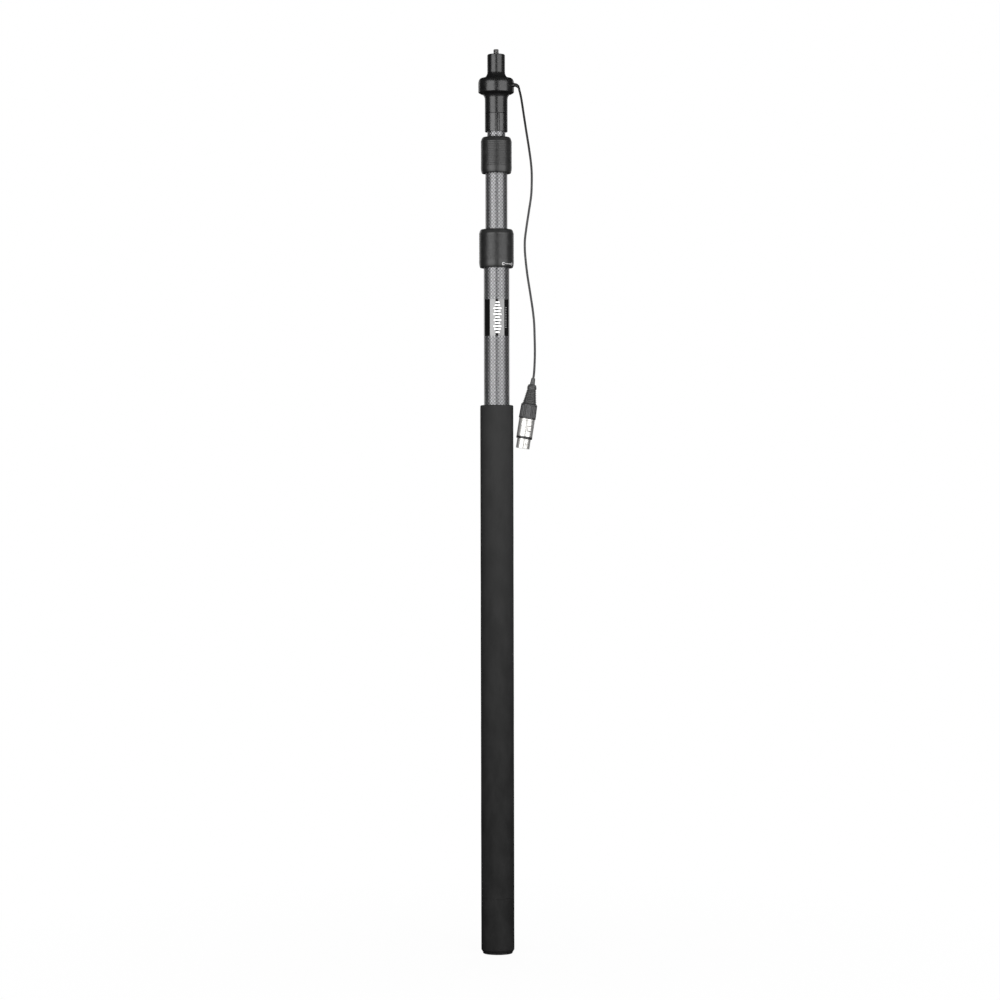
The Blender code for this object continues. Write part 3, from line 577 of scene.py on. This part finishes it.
def metal_paint(name, colour, roughness, lines=0.35, along=(0.03, 0.03, 1.0), lean=0.0, metallic=1.0):
    """Plated or bright metal with fine polishing lines and slight tarnish."""
    p = Paint(name, colour, lean, Metallic=metallic)
    fine = p.noise(lines, 3.0, p.stretched(along))
    cloud = p.noise(3.5, 3.0)
    tone = p.mix(p.span(cloud, 0.35, 0.75), colour, [c * 0.84 for c in colour])
    broad = p.span(cloud, 0.3, 0.7, roughness - 0.04, roughness + 0.05)
    rough = p.math("ADD", broad, p.span(fine, 0.3, 0.7, -0.03, 0.05))
    return p.drive(Base_Color=tone, Roughness=rough, Normal=p.bump(fine, 0.012, 0.5))


def jacket_paint(name):
    """Soft cable jacket: a fine drawn grain, painted black by the head and greyer further down as painted
    shade.
    """
    p = Paint(name, Specular_IOR_Level=0.22)
    drawn = p.noise(0.25, 3.0, p.stretched((1.0, 1.0, 0.15)))
    cloud = p.noise(12.0, 2.0)
    height = p.node("ShaderNodeSeparateXYZ", {0: p.place()}).outputs[2]
    dark_end_tone = p.mix(p.span(cloud, 0.3, 0.7), (0.004, 0.004, 0.004), (0.007, 0.007, 0.007))
    rubbed_patches_and_painted_light = p.mix(p.span(cloud, 0.3, 0.7), (0.034, 0.034, 0.035), (0.052, 0.052, 0.053))
    # Painted shade: black by the head, painted greyer and lighter further down.
    tone = p.mix(p.span(height, 0.87, 0.96), rubbed_patches_and_painted_light, dark_end_tone)
    rough = p.span(cloud, 0.3, 0.7, 0.4, 0.52)
    return p.drive(Base_Color=tone, Roughness=rough, Normal=p.bump(drawn, 0.03, 0.6))


def label_paint(name):
    """Gloss black wrap, faintly rippled, with hairline scratches round the tube."""
    p = Paint(name, Specular_IOR_Level=1.0, Coat_Weight=1.0, Coat_Roughness=0.04, Coat_IOR=1.85)
    ripple = p.noise(9.0, 1.0)
    hair = p.span(p.noise(0.3, 2.0, p.stretched((0.06, 0.06, 1.0))), 0.62, 0.8)
    tone = p.mix(p.math("MULTIPLY", hair, 0.3), (0.006, 0.006, 0.006), (0.02, 0.02, 0.02))
    rough = p.span(hair, 0.0, 1.0, 0.09, 0.2)
    return p.drive(Base_Color=tone, Roughness=rough, Normal=p.bump(ripple, 0.12, 0.5))


def print_paint(name, colour):
    """Screen-printed ink, slightly uneven in cover and gloss."""
    p = Paint(name, colour)
    cover = p.noise(0.35, 3.0)
    tone = p.mix(p.span(cover, 0.3, 0.75), colour, [c * 0.86 for c in colour])
    rough = p.span(cover, 0.3, 0.7, 0.32, 0.5)
    return p.drive(Base_Color=tone, Roughness=rough, Normal=p.bump(cover, 0.02, 0.5))


def make_paints():
    """Every paint by its name."""
    return {
        "outer_carbon": carbon_paint("outer_carbon", 22),
        "middle_carbon": carbon_paint("middle_carbon", 19),
        "inner_carbon": carbon_paint("inner_carbon", 16),
        "foam": foam_paint("foam"),
        "end_foam": foam_paint("end_foam", 0.020, 0.26),
        "rubber": rubber_paint("rubber"),
        "boot_rubber": rubber_paint("boot_rubber", 0.042, 0.3, 0.42),
        "gland_rubber": rubber_paint("gland_rubber", 0.007, 0.34, 0.46),
        "plastic": plastic_paint("plastic"),
        "cap_plastic": plastic_paint("cap_plastic", (0.037, 0.037, 0.038), 0.30),
        "nylon": plastic_paint("nylon", (0.62, 0.6, 0.55), 0.42),
        "anodised": anodised_paint("anodised"),
        # Painted light: the sleeve gets a copy of the anodising with a higher specular level, for the
        # brighter light on it.
        "sleeve_anodised": anodised_paint("sleeve_anodised", specular=0.9),
        "nickel": metal_paint("nickel", (0.80, 0.79, 0.765), 0.2),
        "plug_nickel": metal_paint("plug_nickel", (0.73, 0.72, 0.70), 0.36, lean=PLUG_LEAN, metallic=0.8),
        "stud_steel": metal_paint("stud_steel", (0.34, 0.335, 0.33), 0.34, 0.2),
        "steel": metal_paint("steel", (0.66, 0.65, 0.63), 0.24, 0.2),
        "gold": metal_paint("gold", (0.86, 0.63, 0.26), 0.2, 0.2),
        "jacket": jacket_paint("jacket"),
        "label": label_paint("label"),
        "white_ink": print_paint("white_ink", (0.86, 0.86, 0.85)),
        "grey_ink": print_paint("grey_ink", (0.36, 0.36, 0.36)),
        "soft_ink": print_paint("soft_ink", (0.56, 0.56, 0.56)),
    }


# Camera, light and floor


def make_camera():
    data = bpy.data.cameras.new("camera")
    data.lens = CAMERA_LENS
    data.sensor_width = 36
    camera = bpy.data.objects.new("camera", data)
    camera.location = CAMERA_AT
    camera.rotation_euler = (math.pi / 2, CAMERA_ROLL, 0)
    SCENE.collection.objects.link(camera)
    SCENE.camera = camera


def softbox(name, bearing, distance, half_angle, low, high, radiance, mirrored=True):
    """A tall flat light facing the pole.

    bearing and half_angle are in degrees, the first from the front towards +X. Distance, low and high
    are in metres. A box that is not mirrored lights the matt surfaces only, and makes no highlight.
    """
    turn = math.radians(bearing)
    width = 2 * distance * math.tan(math.radians(half_angle))
    data = bpy.data.lights.new(name, "AREA")
    data.shape = "RECTANGLE"
    data.size, data.size_y = width, high - low
    data.energy = radiance * math.pi * width * (high - low)
    light = bpy.data.objects.new(name, data)
    light.location = (distance * math.sin(turn), -distance * math.cos(turn), (low + high) / 2)
    light.rotation_euler = (math.pi / 2, 0, turn)
    light.visible_camera = False
    light.visible_glossy = mirrored
    SCENE.collection.objects.link(light)


def stage_piece(name, paint, create, **detail):
    """A wide surface that only the camera sees: it lights, shades and mirrors into nothing."""
    bm = bmesh.new()
    create(bm, radius=STAGE_REACH, **detail)
    mesh = bpy.data.meshes.new(name)
    bm.to_mesh(mesh)
    bm.free()
    obj = add_object(name, mesh, paint)
    obj.visible_glossy = False
    obj.visible_shadow = False
    obj.visible_diffuse = False
    return obj


def make_stage():
    """A pale floor that fades to plain white round the pole, and a white backdrop."""
    p = Paint("floor", (0.62, 0.62, 0.62), Roughness=0.9, Specular_IOR_Level=0.1)
    tree = p.tree
    reach = p.node("ShaderNodeVectorMath", {0: p.place()}, operation="LENGTH").outputs["Value"]
    far = p.span(reach, 0.05, 0.7, 0.96, 1.0)
    speck = p.mix(p.noise(3.0, 2.0), (0.60, 0.60, 0.60), (0.63, 0.63, 0.63))
    p.drive(Base_Color=speck)
    glow = p.node("ShaderNodeEmission", {"Strength": 1.0})
    fade = p.node("ShaderNodeMixShader", {0: far, 1: p.shader.outputs[0], 2: glow.outputs[0]})
    # From below, the floor is clear
    behind = p.node("ShaderNodeNewGeometry").outputs["Backfacing"]
    clear = p.node("ShaderNodeBsdfTransparent")
    both = p.node("ShaderNodeMixShader", {0: behind, 1: fade.outputs[0], 2: clear.outputs[0]})
    tree.links.new(both.outputs[0], tree.nodes["Material Output"].inputs["Surface"])
    floor = stage_piece("floor", p.material, bmesh.ops.create_circle, cap_ends=True, segments=96)
    floor.location = (0, 0, -0.0004)

    p = Paint("backdrop")
    glow = p.node("ShaderNodeEmission", {"Strength": 1.0})
    p.tree.links.new(glow.outputs[0], p.tree.nodes["Material Output"].inputs["Surface"])
    sphere = bmesh.ops.create_uvsphere
    backdrop = stage_piece("backdrop", p.material, sphere, u_segments=64, v_segments=32)
    backdrop.visible_transmission = False


def make_lights():
    """Two tall boxes in front, two dim ones for the rims, and two fills for the matt surfaces."""
    world = bpy.data.worlds.new("world")
    world.use_nodes = True
    world.node_tree.nodes["Background"].inputs["Color"].default_value = (0.015, 0.015, 0.0155, 1)
    SCENE.world = world
    SCENE.view_settings.view_transform = "Standard"
    softbox("left_box", -36, 1.6, 26, 0.15, 1.55, 3.3)
    softbox("right_box", 44, 1.6, 29, 0.15, 1.55, 2.6)
    softbox("left_rim_box", -148, 1.8, 13, 0.50, 1.55, 0.9)
    softbox("right_rim_box", 148, 1.8, 13, 0.50, 1.55, 0.6)
    softbox("front_fill", 20, 1.6, 12, 1.00, 1.60, 17, mirrored=False)
    softbox("back_fill", 180, 1.8, 35, 0.30, 1.90, 4.0, mirrored=False)


# Pigtail, gland and plug


def gland_line():
    """The bent strain relief: its centreline in metres, and its radius at each point in millimetres."""
    points, thickness = [], []
    for i in range(4):
        points.append(radial(GLAND_SIDE, GLAND_ROOT + GLAND_STRAIGHT * i / 4, GLAND_HEIGHT))
        thickness.append(GLAND_FOOT_R)
    steps = 18
    for i in range(steps + 1):
        angle = GLAND_BEND * i / steps
        reach = GLAND_ROOT + GLAND_STRAIGHT + GLAND_BEND_R * math.sin(angle)
        drop = GLAND_BEND_R * (1 - math.cos(angle))
        points.append(radial(GLAND_SIDE, reach, GLAND_HEIGHT - drop))
        groove = GLAND_GROOVE if i % 5 in (2, 3) and i < steps - 1 else 0.0
        thickness.append(GLAND_R - GLAND_TAPER * i / steps - groove)
    return points, thickness


def make_cord(paints):
    """The gland, and the free cable from its mouth down to the plug's chuck."""
    points, thickness = gland_line()
    mesh = tube_mesh("strain_relief", points, 1.0, thickness, 10)
    gland = add_object("strain_relief", mesh, paints["gland_rubber"])
    settle(gland, "inner_section", ["cable_gland"])

    mouth, outward = points[-1], (points[-1] - points[-2]).normalized()
    lean = Vector((math.sin(PLUG_LEAN), 0, math.cos(PLUG_LEAN)))
    top = Vector(PLUG_TOP) * MM
    inside = [top - lean * depth * MM for depth in (0, 10, 20, 32)]
    start = mouth - outward * 1.0 * MM
    line = smooth_line([start, mouth + outward * 1.6 * MM, *PIGTAIL_ROUTE, *inside], 0.002)
    cable = add_object("pigtail", tube_curve("pigtail", line, CABLE_R, sides=8), paints["jacket"])
    settle(cable, "inner_section", ["pigtail_cable"])
    return cable, gland, mouth


def make_boot(paints):
    """Soft boot: a nozzle, a flared collar, and a cone that bends at slots, deepest front and back."""
    outline = [
        (2.2, 0), (2.9, -7.4), (4.5, -8.0), (5.5, -11.0), (5.3, -12.3), (6.75, -21),
        (8.3, -30), (1.6, -30), (1.6, 0),
    ]
    first, last, slots, slot_depth = 13.0, 29.2, 8, 1.4
    pitch = (last - first) / slots

    def shape(side, r, z):
        depth = -z
        if r < 4 or not first < depth < last:
            return r
        share = ((depth - first) / pitch) % 1
        slot = max(0.0, math.sin(math.pi * share) - 0.35) / 0.65
        flank = min(1.0, max(0.0, (abs(math.cos(side)) - 0.38) / 0.25))
        return r - slot_depth * min(1.0, slot * 2.2) * (1.0 - 0.5 * flank)

    path = divided(rounded(outline, 0.45), 0.35)
    mesh = turned_mesh("boot", path, 72, shape, SHARP_RIBBED)
    boot = add_object("boot", mesh, paints["boot_rubber"], PLUG_FRAME)
    return settle(boot, "inner_section", ["plug_boot"])


def make_plug(paints):
    """The three-pin plug, in a frame whose -Z runs down the plug from the top of its boot."""
    latch_frame = PLUG_FRAME @ Matrix.Rotation(LATCH_SIDE, 4, "Z")
    cap_foot, cap_top, flutes, flute_depth = -46.3, -31.9, 24, 0.5
    boot = make_boot(paints)

    def part(name, outline, paint, node, slot, corner, steps=ROUND, place=PLUG_FRAME):
        return turned(name, outline, paints[paint], "inner_section", [node], corner, steps, place)

    def flute(side, r, z):
        if r < 9.3 or not cap_foot < z < cap_top:
            return r
        ends = min(1.0, (cap_top - z) / 0.8, (z - cap_foot) / 0.8)
        return r - flute_depth * ends * (0.5 - 0.5 * math.cos(flutes * side))

    cap = [
        (8.7, -30.3), (9.35, -31.2), (9.8, -45.9), (9.8, -47.1), (9.4, -47.5), (8.0, -47.5),
        (8.0, -32), (1.8, -32), (1.8, -30.3),
    ]
    mesh = turned_mesh("grip_cap", divided(rounded(cap, 0.3), 0.8), 12 * flutes, flute, SHARP_RIBBED)
    cap = add_object("grip_cap", mesh, paints["cap_plastic"], PLUG_FRAME)
    settle(cap, "inner_section", ["plug_cap"])

    shell = [
        (7.7, -40), (7.7, -47.8), (9.2, -47.8), (9.2, -49.6), (9.02, -49.75), (9.02, -50.35), (9.2, -50.5),
        (9.2, -68.3), (8.15, -68.3), (8.15, -49.8), (7.0, -49.8), (7.0, -40),
    ]
    shell = part("barrel", shell, "plug_nickel", "plug_shell", "nickel", 0.22)
    cut(shell, box_mesh("window", *LATCH_WINDOW, 0.5), latch_frame)
    band = [(9.25, -68.4), (9.25, -70.4), (8.8, -71.0), (8.15, -71.0), (8.15, -68.4)]
    band = part("front_band", band, "plastic", "plug_ring", "black_plastic", 0.2)
    nose = part("nose", ring(7.85, 7.15, -82.2, -50.1), "plug_nickel", "plug_nose", "nickel", 0.25)
    cut(nose, box_mesh("window", *LATCH_WINDOW, 0.3), latch_frame)
    cut(nose, box_mesh("catch_window", (5, -1.5, -78.0), (11, 1.5, -75.2), 0.3), latch_frame)
    insert = [(0, -50.5), (6.85, -50.5), (6.85, -81.4), (0, -81.4)]
    insert = part("contact_block", insert, "plastic", "plug_insert", "black_plastic", 0.3, ROUND_MEDIUM)
    cut(insert, box_mesh("pocket", (4.3, -2.5, -79.5), (9, 2.5, -53.5)), latch_frame)
    pieces = [boot, cap, shell, band, nose, insert]
    quarter = math.pi / 2
    for number, turn in enumerate((quarter, -quarter, 2 * quarter), start=1):
        seat = PLUG_FRAME @ Matrix.Translation(radial(LATCH_SIDE + turn, 4.0, 0))
        cut(insert, rod_mesh("contact_hole", 1.9, -83, -67.5, ROUND_SMALL), seat)
        socket = [(1.6, -68), (1.6, -80.8), (1.25, -80.8), (1.25, -68)]
        name, node = f"contact_{number}", f"plug_contact_{number}"
        pieces.append(part(name, socket, "gold", node, "contact_gold", 0.12, ROUND_SMALL, seat))

    spring = box_mesh("latch", (5.6, -2.1, -79), (6.5, 2.1, -54), 0.2)
    latch = add_object("latch", spring, paints["plug_nickel"], latch_frame)
    button = box_mesh("button", (6.1, -2.0, -62), (9.6, 2.0, -56), 0.55)
    cut(latch, button, latch_frame, "UNION")
    for k in range(3):
        z = -60.6 + k * 1.6
        cut(latch, box_mesh("grip_line", (9.25, -3, z - 0.25), (10.5, 3, z + 0.25)), latch_frame)
    cut(latch, box_mesh("catch", (6.1, -1.1, -77.6), (8.3, 1.1, -75.6), 0.3), latch_frame, "UNION")
    pieces.append(settle(latch, "plug_latch", ["plug_latch"]))
    return pieces


# Tubes, label and grip


def make_tubes(paints):
    """The three carbon tubes, and the label on the outer one."""
    spans = (
        ("outer_tube", "handle_tube", OUTER_R, 27.7, 812.0, "handle", "outer_carbon"),
        ("middle_tube_skin", "middle_tube", MIDDLE_R, 61.3, 921.4, "middle_section", "middle_carbon"),
        ("inner_tube_skin", "inner_tube", INNER_R, 82.3, 986.7, "inner_section", "inner_carbon"),
    )
    for name, node, radius, foot, top, body, paint in spans:
        outline = ring(radius, radius - TUBE_WALL, foot, top)
        turned(name, outline, paints[paint], body, [node], 0.25)

    label_r = OUTER_R + 0.09
    wrap = ring(label_r, OUTER_R - 0.3, LABEL_FOOT, LABEL_TOP)
    turned("label_wrap", wrap, paints["label"], "handle", corner=0.06)
    make_label_marks(paints, label_r, (LABEL_FOOT + LABEL_TOP) / 2)


def pill(up, half_length, half_height, steps=8):
    """Outline of a level bar with round ends."""
    reach, radii = half_length - half_height, (half_height, half_height)
    return arc((reach, up), radii, -90, 90, steps) + arc((-reach, up), radii, 90, 270, steps)


def make_label_marks(paints, radius, middle):
    """A plain sound-level mark in white, and a row of small ticks beside it."""
    levels = (0.5, 0.8, 1.0, 0.66, 0.92, 0.6, 1.0, 0.74, 1.0, 0.66, 0.5)
    pitch, reach = 3.45, 5.0
    bars, ticks = [], []
    for i, level in enumerate(levels):
        bars.append(pill((i - (len(levels) - 1) / 2) * pitch, reach * level, 1.0))
    for i in range(13):
        half = 1.5 if i % 4 == 0 else 0.85
        ticks.append(pill((i - 6) * 1.9, half, 0.28, 4))
    for name, shapes, along, up, ink in (
        ("level_mark", bars, 1.0, 0.2, "white_ink"),
        ("level_ticks", ticks, 11.9, 0.0, "grey_ink"),
    ):
        wrapped(name, shapes, FRONT + along / radius, middle + up, lambda z: radius, paints[ink], "handle")


def make_grip(paints):
    """The foam sleeve, slightly uneven and soft at its ends, and the firmer end sleeve."""
    bore = OUTER_R + 0.3
    foot = GRIP_SEAM + 0.1
    outline = [(GRIP_R, GRIP_TOP), (GRIP_R, foot), (bore, foot), (bore, GRIP_TOP - 0.6)]
    path = rounded(outline, 0.15)
    crown_r = GRIP_R - GRIP_CROWN
    crown = [(crown_r, GRIP_TOP)]
    crown += arc((crown_r, GRIP_TOP - GRIP_CROWN), (GRIP_CROWN, GRIP_CROWN), 90, 0, 8)[1:]
    crown.append((GRIP_R, GRIP_TOP - GRIP_CROWN - 0.4))
    path = crown + [p for p in path if p[1] < foot + 5 or p[0] < GRIP_R - 1]

    def uneven(side, r, z):
        if r < crown_r - 0.1:
            return r
        at = radial(side, 26, z * 0.55) * 28
        swell = 0.10 * noise.noise(at) + 0.05 * noise.noise(at * 3.1) - 0.05
        return r + swell

    mesh = turned_mesh("grip_foam", divided(path, 3.0), ROUND, uneven)
    grip = settle(add_object("grip_foam", mesh, paints["foam"]), "handle", ["foam_grip"])

    low, recess = END_SLEEVE_FOOT, END_SLEEVE_RECESS
    sleeve = [
        (GRIP_R, GRIP_SEAM - 0.1), (GRIP_R, GRIP_SEAM - 0.5), (GRIP_R, low + 2.7), (GRIP_R - 1.5, low),
        (recess, low), (recess, 6.1), (bore, 6.1), (bore, GRIP_SEAM - 0.1),
    ]
    mesh = turned_mesh("end_sleeve", divided(rounded(sleeve, 0.45), 3.0), ROUND, uneven)
    end = settle(add_object("end_sleeve", mesh, paints["end_foam"]), "handle", ["grip_end_cap"])


def make_butt(paints):
    """The three-pin output in the foot, its rim cap and its screws."""
    mouth = 9.2

    def part(name, outline, paint, node, slot, corner, steps=ROUND, place=None):
        return turned(name, outline, paints[paint], "handle", [node], corner, steps, place)

    rim = [(17.15, 5.8), (17.15, 0.4), (16.75, 0), (mouth + 0.5, 0), (mouth, 0.5), (mouth, 5.8)]
    cap = part("rim_cap", rim, "plastic", "butt_cap", "black_plastic", 0.4)
    part("output_barrel", ring(8.9, 8.1, 0.8, 24.0), "nickel", "output_shell", "nickel", 0.25)
    block = [(0, 26.2), (8.9, 26.2), (8.9, 24.3), (7.8, 24.3), (7.8, 16), (0, 16)]
    block = part("output_block", block, "plastic", "output_insert", "black_plastic", 0.3)
    for number, side in enumerate((0, math.pi), start=1):
        seat = Matrix.Translation(radial(side, 11.4, 0))
        cut(cap, rod_mesh("counterbore", 2.0, -1, 2.3, ROUND_SMALL), seat)
        screw = [(0, 12), (0.8, 12), (0.8, 2.0), (1.7, 2.0), (1.7, 0.8), (0, 0.8)]
        name, node = f"rim_screw_{number}", f"butt_screw_{number}"
        screw = part(name, screw, "steel", node, "steel", 0.25, ROUND_SMALL, seat)
        for turn in (0.3, 0.3 + math.pi / 2):
            slot = box_mesh("slot", (-1.1, -0.2, 0), (1.1, 0.2, 1.5))
            cut(screw, slot, seat @ Matrix.Rotation(turn, 4, "Z"))
    for number, side in enumerate((0, math.pi, FRONT), start=1):
        seat = Matrix.Translation(radial(side, 4.0, 0))
        cut(block, rod_mesh("pin_hole", 1.5, 15, 25.8), seat)
        pin = [(0, 30), (1.2, 30), (1.2, 6.6), (0.95, 5.9), (0.45, 5.5), (0, 5.5)]
        name, node = f"pin_{number}", f"output_pin_{number}"
        part(name, pin, "gold", node, "contact_gold", 0.3, ROUND_SMALL, seat)


# Twist locks

# How far the foot of a lock's rubber sleeve curves in, and over what height
TUCK = (2.0, 7.0)


def make_collar(paints, prefix, lock, tube_r, rod_r):
    """Rubber sleeve of a twist lock: fine ribs round its middle, a soft top bevel and a tucked foot."""
    foot, height, radius = lock
    top = foot + height
    rib_foot, rib_top, pitch, depth = foot + 8.5, top - 6.0, 2.0, 0.17
    node = prefix + "_collar_sleeve"
    outline = [
        (radius - 2.5, top), (radius - 1.2, top - 1.3), (radius, top - 5.0),
        *arc((radius - TUCK[0], foot + TUCK[1]), (TUCK[0], TUCK[1] + 0.4), 0, -71, 8), (tube_r + 0.4, foot),
        (tube_r + 0.4, foot + 1.4), (radius - 1.4, foot + 1.4), (radius - 1.4, top - 2.4),
        (rod_r + 0.5, top - 2.4), (rod_r + 0.5, top),
    ]

    def ribs(side, r, z):
        if r < radius - 0.05 or not rib_foot < z < rib_top:
            return r
        return r - depth * (0.5 - 0.5 * math.cos(2 * math.pi * (z - rib_foot) / pitch))

    path = divided(rounded(outline, 0.7, 4), 0.26)
    mesh = turned_mesh(prefix + "_sleeve", path, ROUND, ribs, SHARP_RIBBED)
    settle(add_object(prefix + "_sleeve", mesh, paints["rubber"]), prefix + "_collar", [node])


def make_turn_icon(paints):
    """An open lock, an arrow and a closed lock, printed along the lower sleeve's foot."""
    foot, _, radius = LOWER_LOCK

    def surface(z):
        share = min(1.0, max(0.0, foot + TUCK[1] - z) / (TUCK[1] + 0.4))
        return radius - TUCK[0] * (1 - math.sqrt(1 - share**2))

    def hoop(along, start, end, mid=1.35, half=0.4, steps=16):
        outer, inner = (mid + half, mid + half), (mid - half, mid - half)
        return arc((along, 0.0), outer, start, end, steps) + arc((along, 0.0), inner, end, start, steps)

    arrow = [(-4.7, -0.32), (3.0, -0.32), (3.0, -1.0), (4.7, 0), (3.0, 1.0), (3.0, 0.32), (-4.7, 0.32)]
    shapes = [hoop(-6.6, 40, 330), hoop(6.8, 0, 350), arrow]
    side = FRONT + math.radians(43)
    wrapped("turn_icon", shapes, side, foot + 3.7, surface, paints["soft_ink"], "lower_collar", 0.06)


# Head


def make_head(paints):
    """The slotted sleeve, the flanged hub with its set screw, the neck and the stud."""
    bore = INNER_R + 0.3

    def part(name, outline, paint, node, slot, corner, steps=ROUND, place=None):
        return turned(name, outline, paints[paint], "inner_section", [node], corner, steps, place)

    sleeve = ring(HEAD_SLEEVE_R, bore, HEAD_SLEEVE_FOOT, HEAD_SEAM - SEAM)
    sleeve = part("sleeve", sleeve, "sleeve_anodised", "head_sleeve", "black_aluminium", 0.35)
    turn = Matrix.Rotation(KEY_SIDE, 4, "Z")
    cut(sleeve, box_mesh("keyway", (11.9, -2.4, 950), (16, 2.4, 978)), turn)
    key = box_mesh("key", (12.2, -1.1, HEAD_SLEEVE_FOOT + 0.4), (12.85, 1.1, HEAD_SEAM - 0.6), 0.18)
    key = add_object("key", key, paints["anodised"], turn)
    settle(key, "inner_section", ["head_key"])

    chamber, chamber_foot = 7.3, 987.0
    fillet_top = FLANGE_TOP + NECK_FILLET[1]
    cut_off = math.degrees(math.asin((fillet_top - NECK_SEAM + 0.1) / NECK_FILLET[1]))
    hub = [
        *arc((NECK_R + NECK_FILLET[0], fillet_top), NECK_FILLET, 180 + cut_off, 270, 16),
        *arc((FLANGE_R - FLANGE_CORNER[0], FLANGE_TOP - FLANGE_CORNER[1]), FLANGE_CORNER, 90, 0, 16),
        (FLANGE_R, FLANGE_FOOT + 0.5),
        (FLANGE_R - 0.45, FLANGE_FOOT),
        *arc((HEAD_SLEEVE_R + COVE[0], UNDERSIDE - COVE[1]), COVE, 90, 180, 16),
        (HEAD_SLEEVE_R, HEAD_SEAM + SEAM),
        (bore, HEAD_SEAM + SEAM),
        (bore, chamber_foot),
        (chamber, chamber_foot),
        (chamber, NECK_SEAM - 0.1),
    ]
    hub = part("hub", hub, "anodised", "head_hub", "black_aluminium", 0.35)
    cut(hub, rod_mesh("gland_seat", 2.75, GLAND_ROOT - 1, 25, 48), across(GLAND_SIDE, GLAND_HEIGHT))
    cut(hub, rod_mesh("lead_hole", 1.7, 5, 25), across(GLAND_SIDE, GLAND_HEIGHT))
    seat = across(SET_SCREW_SIDE, GLAND_HEIGHT - 1.0)
    cut(hub, rod_mesh("screw_hole", 1.55, 16.5, 25, 48), seat)
    screw_end = FLANGE_R - 0.5
    screw = [(0, screw_end), (1.2, screw_end), (1.2, 16.8), (0, 16.8)]
    screw = part("set_screw", screw, "steel", "head_set_screw", "steel", 0.25, ROUND_SMALL, seat)
    cut(screw, rod_mesh("socket", 0.68, screw_end - 1.3, 25, 6), seat)

    stud_foot = NECK_TOP - 12
    adapter = [
        (0, stud_foot - 0.3), (3.475, stud_foot - 0.3), (3.475, NECK_TOP), (NECK_R - 0.8, NECK_TOP),
        (NECK_R, NECK_TOP - 0.8), (NECK_R, NECK_SEAM + 0.1), (7.0, NECK_SEAM + 0.1), (7.0, NECK_SEAM - 9),
        (0, NECK_SEAM - 9),
    ]
    part("neck", adapter, "anodised", "mic_adapter", "black_aluminium", 0.3)
    make_stud(paints, stud_foot)


def make_stud(paints, foot):
    """The 1/4 inch stud with its helical thread, 20 turns to the inch, and a chamfered tip."""
    pitch, crest, root = 1.27, 3.175, 2.55
    rows = 220

    def thread(side, r, z):
        if r < 1.5:
            return r
        phase = (z / pitch - side / (2 * math.pi)) % 1
        flank = min(1.0, max(0.0, (abs(phase - 0.5) * 2 - 0.1) / 0.72))
        tip = crest - max(0.0, z - (STUD_TOP - 0.9)) * 0.75
        return min(root + (crest - root) * flank, tip)

    path = [(0, STUD_TOP)] + [(crest * k / 4, STUD_TOP) for k in (1, 2, 3)]
    path += [(crest, STUD_TOP - 0.02 - (STUD_TOP - foot - 0.02) * i / rows) for i in range(rows + 1)]
    path.append((0, foot))
    mesh = turned_mesh("stud", path, ROUND_MEDIUM, thread, SHARP_THREAD)
    settle(add_object("stud", mesh, paints["stud_steel"]), "inner_section", ["mic_stud"])


# Internal cable


def make_coil(paints):
    """The curly lead inside the tubes, in two lengths."""
    foot, middle, top = 50.6, 305.0, 559.9
    coil_r, turns_per_mm, points_per_turn = 4.9, 0.34, 14
    halves = (
        ("coil_lower", foot, middle, "handle", "middle_guide"),
        ("coil_upper", middle, top, "middle_section", "inner_guide"),
    )
    for name, low, high, first, second in halves:
        count = round((high - low) * turns_per_mm * points_per_turn)
        points = []
        for i in range(count + 1):
            z = low + CABLE_R + (high - low - 2 * CABLE_R) * i / count
            points.append(radial(2 * math.pi * turns_per_mm * (z - foot), coil_r, z))
        coil = add_object(name, tube_mesh(name, points, CABLE_R, sides=1), paints["jacket"])
        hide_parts("coiled_cable")
        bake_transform(coil)


def paint_hidden_nodes(paints):
    """The solid nodes that stay: the working parts inside the tubes and the locks."""
    by_slot = {
        "nylon": paints["nylon"],
        "black_aluminium": paints["anodised"],
        "black_plastic": paints["plastic"],
        "cable_jacket": paints["jacket"],
    }
    slots = {row["node"]: row["material_slot"] for row in frame["record"]["subparts"]}
    for name, obj in frame["nodes"].items():
        if obj.hide_render:
            continue
        obj.data.materials.clear()
        obj.data.materials.append(by_slot[slots[name]])


make_camera()
paints = make_paints()
cable, gland, mouth = make_cord(paints)
plug = make_plug(paints)
make_stage()
make_lights()
make_tubes(paints)
make_grip(paints)
make_butt(paints)
make_collar(paints, "lower", LOWER_LOCK, OUTER_R, MIDDLE_R)
make_collar(paints, "upper", UPPER_LOCK, MIDDLE_R, INNER_R)
make_turn_icon(paints)
make_head(paints)
make_coil(paints)
paint_hidden_nodes(paints)
